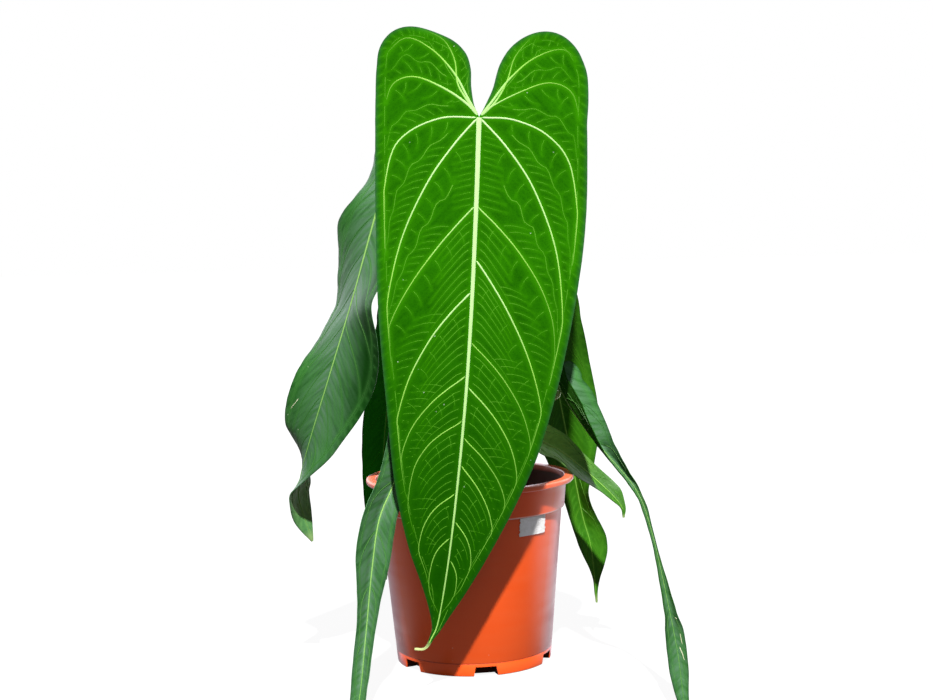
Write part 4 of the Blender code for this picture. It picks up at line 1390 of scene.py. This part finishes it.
def spun(profile, sides):
    """A closed skin of revolution from points (radius, height) that start and end on the axis."""
    bm = bmesh.new()
    verts = [bm.verts.new((radius, 0, z)) for radius, z in profile]
    edges = [bm.edges.new(pair) for pair in zip(verts, verts[1:])]
    turn = {"cent": (0, 0, 0), "axis": (0, 0, 1), "angle": 2 * math.pi, "steps": sides}
    bmesh.ops.spin(bm, geom=verts + edges, use_merge=True, **turn)
    close(bm, 2 * JOIN)
    return bm


def wall_radius(z):
    return blend(((0, FOOT_RADIUS), (SEAM_Z, SEAM_RADIUS), (COLLAR_FOOT_Z, BODY_TOP_RADIUS)), z)


def arc(centre, radius, start_deg, end_deg, steps=5):
    """Points round a corner of a profile."""
    found = []
    for i in range(steps + 1):
        angle = math.radians(start_deg + (end_deg - start_deg) * i / steps)
        found.append((centre[0] + radius * math.cos(angle), centre[1] + radius * math.sin(angle)))
    return found


def grown_verts(bm, faces):
    """The new points of those faces pushed out."""
    grown = bmesh.ops.extrude_face_region(bm, geom=faces)["geom"]
    return [vert for vert in grown if isinstance(vert, bmesh.types.BMVert)]


def notch_cutter():
    """Wedge-sided pockets that break out through the foot and the wall."""
    bm = bmesh.new()
    below = Vector((0, 0, NOTCH_BELOW_FOOT))
    rise = Vector((0, 0, NOTCH_HEIGHT + NOTCH_BELOW_FOOT))
    inner, outer = FOOT_RADIUS - NOTCH_DEPTH, FOOT_RADIUS + NOTCH_PAST_WALL
    for i in range(NOTCHES):
        out = heading(NOTCH_FIRST_DEG - 90 + 360 * i / NOTCHES)
        side = Vector((-out.y, out.x, 0))
        throat, mouth = side * NOTCH_THROAT / 2, side * NOTCH_WIDTH / 2
        corners = (out * inner - throat, out * outer - mouth, out * outer + mouth, out * inner + throat)
        face = bm.faces.new([bm.verts.new(corner - below) for corner in corners])
        for vert in grown_verts(bm, [face]):
            vert.co += rise - side * vert.co.dot(side) * NOTCH_TAPER
    bmesh.ops.recalc_face_normals(bm, faces=bm.faces)
    return solid(bm, "notch_cutter")


def shade_stain_inside(mesh):
    """Gives the inner faces and the notches the mesh's second, dull material, darkened there by soil stain
    and painted shade.
    """
    for face in mesh.polygons:
        x, y, z = face.center / MM
        outer = wall_radius(z) + (COLLAR_FOOT_RADIUS - BODY_TOP_RADIUS if z > COLLAR_FOOT_Z else 0)
        if z < POT_HEIGHT - SHADE_STAIN_BELOW_TOP and outer - math.hypot(x, y) > SHADE_STAIN_DEPTH:
            face.material_index = 1


def add_pot(materials):
    """The pot with rounded lip and collar edges, a fine seam above the foot, and drain notches."""
    lip_z = POT_HEIGHT - LIP_DEPTH
    inner_lip = LIP_RADIUS - LIP_WIDTH
    profile = [
        (0, 0),
        (FOOT_RADIUS - 1, 0),
        *arc((FOOT_RADIUS - 0.8, 0.8), 0.8, -90, 0, 3),
        (SEAM_RADIUS - 0.05, SEAM_Z - 0.5),
        (SEAM_RADIUS - SEAM_DEPTH, SEAM_Z),
        (SEAM_RADIUS + 0.05, SEAM_Z + 0.5),
        (wall_radius(COLLAR_FOOT_Z - 2), COLLAR_FOOT_Z - 2),
        (BODY_TOP_RADIUS, COLLAR_FOOT_Z - 0.6),
        *arc((COLLAR_FOOT_RADIUS - 1.0, COLLAR_FOOT_Z + 0.9), 1.0, -80, -5, 4),
        (COLLAR_TOP_RADIUS - 0.1, lip_z - 1.2),
        (COLLAR_TOP_RADIUS + 0.8, lip_z - 0.2),
        (LIP_RADIUS - 1.4, lip_z),
        *arc((LIP_RADIUS - 1.3, lip_z + 1.3), 1.3, -80, 0),
        *arc((LIP_RADIUS - 1.8, POT_HEIGHT - 1.8), 1.8, 0, 90),
        *arc((inner_lip + 1.6, POT_HEIGHT - 1.6), 1.6, 90, 180),
        (COLLAR_FOOT_RADIUS - WALL + 0.2, COLLAR_FOOT_Z + 0.8),
        (COLLAR_FOOT_RADIUS - WALL - 0.5, COLLAR_FOOT_Z - 0.2),
        (BODY_TOP_RADIUS - WALL, COLLAR_FOOT_Z - 1.5),
        (SEAM_RADIUS - WALL, SEAM_Z + 1),
        (FLOOR_RING_INNER + 2, SEAM_Z),
        (FLOOR_RING_INNER, FLOOR),
        (0, FLOOR),
    ]
    pot = piece(spun(profile, POT_SIDES), "nursery_pot", materials, "pot", 30)
    cutter = notch_cutter()
    modifier = pot.modifiers.new("notches", "BOOLEAN")
    modifier.operation = "DIFFERENCE"
    modifier.object = cutter
    bpy.context.view_layer.update()
    cut = bpy.data.meshes.new_from_object(pot.evaluated_get(bpy.context.evaluated_depsgraph_get()))
    pot.modifiers.clear()
    pot.data = cut
    shade_stain_inside(cut)
    bpy.data.objects.remove(cutter)


def mix_edge():
    return wall_radius(MIX_EDGE_Z) - WALL - 2 * GAP


def mix_height(radius, angle):
    """The uneven top of the potting mix."""
    mound = MIX_MOUND * math.sin(math.pi / 2 * (1 - min(radius / mix_edge(), 1)))
    place = Vector((radius * math.cos(angle) / 9, radius * math.sin(angle) / 9, 4.2))
    return MIX_EDGE_Z + mound + 1.3 * noise.noise(place) + 0.7 * noise.noise(place * 3.1)


def add_potting_mix(mix_skin, bark, grit):
    """The mix fills the pot; bark chips and a little pale grit lie half sunk in its lumpy top."""
    edge = mix_edge()
    profile = [
        (0, FLOOR + GAP),
        (FLOOR_RING_INNER - GAP, FLOOR + GAP),
        (FLOOR_RING_INNER + 2 - GAP, SEAM_Z + GAP),
        (SEAM_RADIUS - WALL - 2 * GAP, SEAM_Z + 1 + GAP),
        (edge, MIX_EDGE_Z - 2),
    ]
    profile += [(edge * (1 - i / MIX_RINGS), MIX_EDGE_Z) for i in range(MIX_RINGS + 1)]
    bm = spun(profile, MIX_SIDES)
    for vert in bm.verts:
        if vert.co.z > MIX_EDGE_Z - 1:
            radius = math.hypot(vert.co.x, vert.co.y)
            vert.co.z = mix_height(radius, math.atan2(vert.co.y, vert.co.x))
    piece(bm, "mix_body", [mix_skin], "potting_mix", 50)
    rng = random.Random(23)
    for name, skin, (count, small, large) in (("bark_chips", bark, CHIPS), ("pale_grit", grit, GRITS)):
        bm = bmesh.new()
        for _ in range(count):
            radius = math.sqrt(rng.uniform((CROWN_RADIUS + 3) ** 2, (edge - 5) ** 2))
            angle = rng.uniform(0, 2 * math.pi)
            size = rng.uniform(small, large)
            shape = (size, size * rng.uniform(0.5, 0.9), size * rng.uniform(0.22, 0.6))
            turn = Matrix.Rotation(rng.uniform(0, math.tau), 3, "Z")
            turn = turn @ Matrix.Rotation(rng.uniform(-0.6, 0.6), 3, "X")
            height = mix_height(radius, angle) + 0.2 * size
            centre = Vector((radius * math.cos(angle), radius * math.sin(angle), height))
            for vert in bmesh.ops.create_icosphere(bm, subdivisions=1, radius=1)["verts"]:
                jitter = rng.uniform(0.75, 1.15)
                vert.co = centre + turn @ Vector([c * k * jitter for c, k in zip(vert.co, shape)])
        piece(bm, name, [skin], "potting_mix", 25)


def add_crown(material):
    """A stubby stem, ringed by old leaf scars, rough with fibre."""
    profile = [(0, CROWN_FOOT_Z)]
    for i in range(CROWN_STEPS + 1):
        z = CROWN_FOOT_Z + (CROWN_TOP_Z - 3 - CROWN_FOOT_Z) * i / CROWN_STEPS
        scar = sum(math.exp(-(((z - ring) / 0.8) ** 2)) for ring in LEAF_SCARS_Z)
        shoulder = 3.4 * max(0, (z - CROWN_TOP_Z + 7) / 7) ** 2
        profile.append((CROWN_RADIUS - 0.35 - 1.1 * scar - shoulder, z))
    profile += [(CROWN_RADIUS - 6, CROWN_TOP_Z - 1.4), (CROWN_RADIUS - 11, CROWN_TOP_Z - 0.6)]
    profile.append((0, CROWN_TOP_Z - 0.5))
    bm = spun(profile, CROWN_SIDES)
    for vert in bm.verts:
        if vert.co.z > CROWN_FOOT_Z + 1:
            angle = math.atan2(vert.co.y, vert.co.x)
            place = Vector((math.cos(angle) * 5, math.sin(angle) * 5, vert.co.z / 9))
            out = Vector((vert.co.x, vert.co.y, 0))
            vert.co += out.normalized() * (0.35 * noise.noise(place)) if out.length > 1 else Vector()
    piece(bm, "crown_stem", [material], "crown", 50)


def add_label(material):
    """A bare strip of paper tape, cut straight above and below, torn at both ends and slightly crinkled."""
    bm = bmesh.new()
    bmesh.ops.create_grid(bm, x_segments=TAPE_GRID[0], y_segments=TAPE_GRID[1], size=1)
    for vert in bm.verts:
        x, y = vert.co.x, vert.co.y
        ragged = noise.noise(Vector((y * 3, x * 2, 1))) + 0.5 * noise.noise(Vector((y * 11, x * 5, 2)))
        length = TAPE_LENGTH / 2 * x + TAPE_TEAR * ragged * abs(x) ** 12
        z = TAPE_TOP_Z - TAPE_HEIGHT * (1 - y) / 2
        crinkle = TAPE_CRINKLE * noise.noise(Vector((x * 9, y * 4, 3)))
        radius = wall_radius(z) + GAP + 0.05 + max(crinkle, -0.1)
        angle = math.radians(TAPE_AT_DEG - 90) + length / radius
        vert.co = (radius * math.cos(angle), radius * math.sin(angle), z)
    bmesh.ops.recalc_face_normals(bm, faces=bm.faces)
    for vert in grown_verts(bm, list(bm.faces)):
        vert.co += Vector((vert.co.x, vert.co.y, 0)).normalized() * TAPE_THICKNESS
    bmesh.ops.recalc_face_normals(bm, faces=bm.faces)
    piece(bm, "paper_label", [material], "label", 50)


# Studio


def add_camera():
    data = bpy.data.cameras.new("camera")
    data.sensor_width = SENSOR_WIDTH
    data.lens = CAMERA_FOCAL_PX / IMAGE_WIDTH * SENSOR_WIDTH
    camera = new_object("camera", data)
    camera.matrix_world = (
        Matrix.Translation(CAMERA_AT)
        @ Matrix.Rotation(math.radians(90 - CAMERA_DOWN_DEG), 4, "X")
        @ Matrix.Rotation(math.radians(CAMERA_ROLL_DEG), 4, "Z")
    )
    bpy.context.scene.camera = camera


def add_light(name, way, soft_deg, strength, colour):
    """A broad light that comes from that way, with shadows as soft as its angle."""
    data = bpy.data.lights.new(name, "SUN")
    data.angle = math.radians(soft_deg)
    data.energy = strength
    data.color = colour
    new_object(name, data).rotation_euler = Vector(way).to_track_quat("Z", "Y").to_euler()


def add_floor():
    """A floor lit from below as a light table is: white all over, with a faint shadow."""
    material, tree = new_material("studio_floor", 0.7, 0.0)
    inputs = tree.nodes[SHADER].inputs
    inputs["Base Color"].default_value = (*3 * [FLOOR_COLOUR], 1)
    inputs["Emission Color"].default_value = (1, 1, 1, 1)
    ray = put(tree, "LightPath").outputs
    spot = axes(tree, object_place(tree))
    far = ramp(tree, spot["Y"], -0.055, -0.01, 0, FLOOR_MIRRORED)
    beside = times(tree, far, ramp(tree, spot["X"], -0.3, 0.3, 0.15, 1))
    seen = times(tree, ray["Is Camera Ray"], FLOOR_GLOW)
    glow = plus(tree, seen, times(tree, ray["Is Glossy Ray"], beside))
    tree.links.new(glow, inputs["Emission Strength"])
    bm = bmesh.new()
    bmesh.ops.create_grid(bm, x_segments=1, y_segments=1, size=FLOOR_SIZE)
    bmesh.ops.translate(bm, vec=(0, 0, -FLOOR_DROP), verts=bm.verts)
    floor = solid(bm, "studio_floor", 1)
    floor.data.materials.append(material)


def add_world():
    """White walls behind and beside the plant, a dim room before it, and a soft sky in its shadows."""
    world = bpy.data.worlds.new("studio")
    world.use_nodes = True
    tree = world.node_tree
    background = tree.nodes["Background"].inputs
    ray = put(tree, "LightPath").outputs
    way = put(tree, "TexCoord").outputs["Generated"]
    walls = ramp(tree, axes(tree, way)["Y"], 0.0, 0.7, ROOM_MIRRORED, WALLS_MIRRORED)
    shiny = times(tree, ray["Is Glossy Ray"], walls)
    mirrored = plus(tree, shiny, ramp(tree, ray["Is Glossy Ray"], 0, 1, SKY_FILL, 0))
    seen = ramp(tree, ray["Is Camera Ray"], 0, 1)
    tree.links.new(maths(tree, "MAXIMUM", mirrored, seen), background["Strength"])
    tree.links.new(mix(tree, ray["Is Camera Ray"], SKY_COLOUR, (1, 1, 1)), background["Color"])
    bpy.context.scene.world = world


# These faces carry painted sheen beside the midrib and painted shade over one half.
SHEEN_FACE = Skin(
    (0.003, 0.034, 0.002), (0.011, 0.078, 0.006), (0.030, 0.125, 0.022), (0.006, 0.035, 0.008), 0.4, 0.12,
    tint=(0.8, 1, 0.84, 1), streaks=0.55, shade=0.85, tip_depth=0.3, silver_share=0.85,
)
LONG_SHEEN_FACE = SHEEN_FACE._replace(
    gloss=0.0, tint=(1, 1, 1, 1), shade=-0.9, shade_span=(0, 0.9), silver=(0.11, 0.19, 0.13),
    silver_share=0.6,
)
SILVER_VEIN = ("vein_silvered", (0.20, 0.36, 0.09), (0.10, 0.24, 0.05), (0.026, 0.10, 0.02), 0.5, 0.15)
# For each look: the face, the underside, and the veins' name, three colours, roughness and gloss
LOOKS = {
    "bright": (
        # The bluish grey edge colour of this face is painted sheen.
        Skin(
            (0.0035, 0.044, 0.0003), (0.0085, 0.082, 0.0005), (0.022, 0.145, 0.0008), (0.025, 0.065, 0.035),
            0.62, 0.0, streaks=0.2, tip_depth=0.8, pale_tip=0.8,
        ),
        Skin((0.02, 0.08, 0.012), (0.035, 0.12, 0.02), (0.06, 0.17, 0.03), (0.015, 0.06, 0.015), 0.6, 0.3),
        ("vein_bright", (0.37, 0.53, 0.26), (0.19, 0.40, 0.06), (0.026, 0.150, 0.001), 0.6, 0.0),
    ),
    "silvered": (
        SHEEN_FACE,
        Skin((0.035, 0.14, 0.05), (0.07, 0.22, 0.06), (0.12, 0.30, 0.09), (0.03, 0.10, 0.04), 0.5, 0.25),
        SILVER_VEIN,
    ),
    "silvered_long": (
        LONG_SHEEN_FACE,
        Skin(
            (0.005, 0.04, 0.002), (0.016, 0.075, 0.005), (0.03, 0.11, 0.012), (0.006, 0.04, 0.004), 0.5, 0.0
        ),
        SILVER_VEIN,
    ),
    "deep": (
        Skin(
            (0.0015, 0.075, 0.0003), (0.004, 0.125, 0.0005), (0.010, 0.17, 0.001), (0.003, 0.05, 0.002),
            0.5, 0.03,
        ),
        Skin((0.014, 0.06, 0.01), (0.024, 0.09, 0.014), (0.04, 0.13, 0.02), (0.01, 0.04, 0.01), 0.55, 0.2),
        ("vein_deep", (0.08, 0.28, 0.03), (0.04, 0.2, 0.01), (0.01, 0.14, 0.002), 0.5, 0.05),
    ),
    "fresh": (
        Skin(
            (0.008, 0.062, 0.001), (0.018, 0.100, 0.002), (0.035, 0.15, 0.005), (0.012, 0.05, 0.006),
            0.45, 0.1,
        ),
        Skin((0.03, 0.12, 0.015), (0.05, 0.17, 0.025), (0.08, 0.23, 0.04), (0.02, 0.08, 0.012), 0.5, 0.3),
        ("vein_fresh", (0.17, 0.36, 0.06), (0.09, 0.24, 0.02), (0.035, 0.15, 0.006), 0.45, 0.15),
    ),
    "young": (
        # Partly painted light: the body is pale near the stalk, where the leaf lies in the front leaf's cast
        # shadow, and deepens to a dark tip where it lies in the light; young leaves are also paler.
        Skin(
            (0.030, 0.120, 0.008), (0.24, 0.52, 0.07), (0.28, 0.58, 0.10), (0.08, 0.22, 0.03), 0.36, 0.25,
            tip_depth=1, tip_from=0.1,
        ),
        Skin((0.08, 0.22, 0.03), (0.12, 0.29, 0.05), (0.17, 0.36, 0.07), (0.05, 0.17, 0.02), 0.4, 0.35),
        ("vein_young", (0.26, 0.44, 0.1), (0.18, 0.38, 0.06), (0.09, 0.27, 0.03), 0.35, 0.2),
    ),
}


def main():
    add_pot([pot_material("terracotta_plastic", 0.55), pot_material("stained_plastic", 0.02)])
    crepe = fibrous_material(
        "paper_tape", 0.78, 0.3, (180.0, (0.80, 0.79, 0.78), (0.94, 0.94, 0.96)),
        ((420, 420, 1500), 0.25, (0.55, 0.53, 0.46)), (0.5, 0.0003),
    )
    add_label(crepe)
    add_potting_mix(
        mix_material("damp_mix", (0.008, 0.005, 0.003), (0.06, 0.035, 0.02), 160.0),
        mix_material("bark_chip", (0.03, 0.014, 0.007), (0.17, 0.085, 0.04), 240.0),
        mix_material("pale_grit", (0.35, 0.33, 0.30), (0.72, 0.71, 0.68), 300.0),
    )
    bark = fibrous_material(
        "crown_bark", 0.7, 0.5, (120.0, (0.09, 0.10, 0.03), (0.20, 0.16, 0.07)),
        ((700, 700, 90), 0.6, (0.30, 0.24, 0.13)), (0.6, 0.0006),
    )
    add_crown(bark)
    stalk_skin = fibrous_material(
        "stalk_skin", 0.42, 0.5, (22.0, (0.16, 0.32, 0.045), (0.30, 0.42, 0.09)),
        ((900, 900, 40), 0.45, (0.36, 0.46, 0.15)), (0.2, 0.0003), freckles=0.6,
    )
    scar_skin = mix_material("dry_scar", (0.52, 0.54, 0.34), (0.85, 0.85, 0.66), 400.0)
    looks = {name: leaf_materials(name, *look) for name, look in LOOKS.items()}
    for leaf in LEAVES:
        add_leaf(leaf, looks[leaf.look], stalk_skin, scar_skin)
    add_camera()
    add_light("key", KEY_WAY, KEY_SOFT_DEG, KEY_STRENGTH, KEY_COLOUR)
    add_light("back_fill", BACK_WAY, BACK_SOFT_DEG, BACK_STRENGTH, BACK_COLOUR)
    add_world()
    add_floor()
    bpy.context.scene.view_settings.view_transform = "Standard"


main()
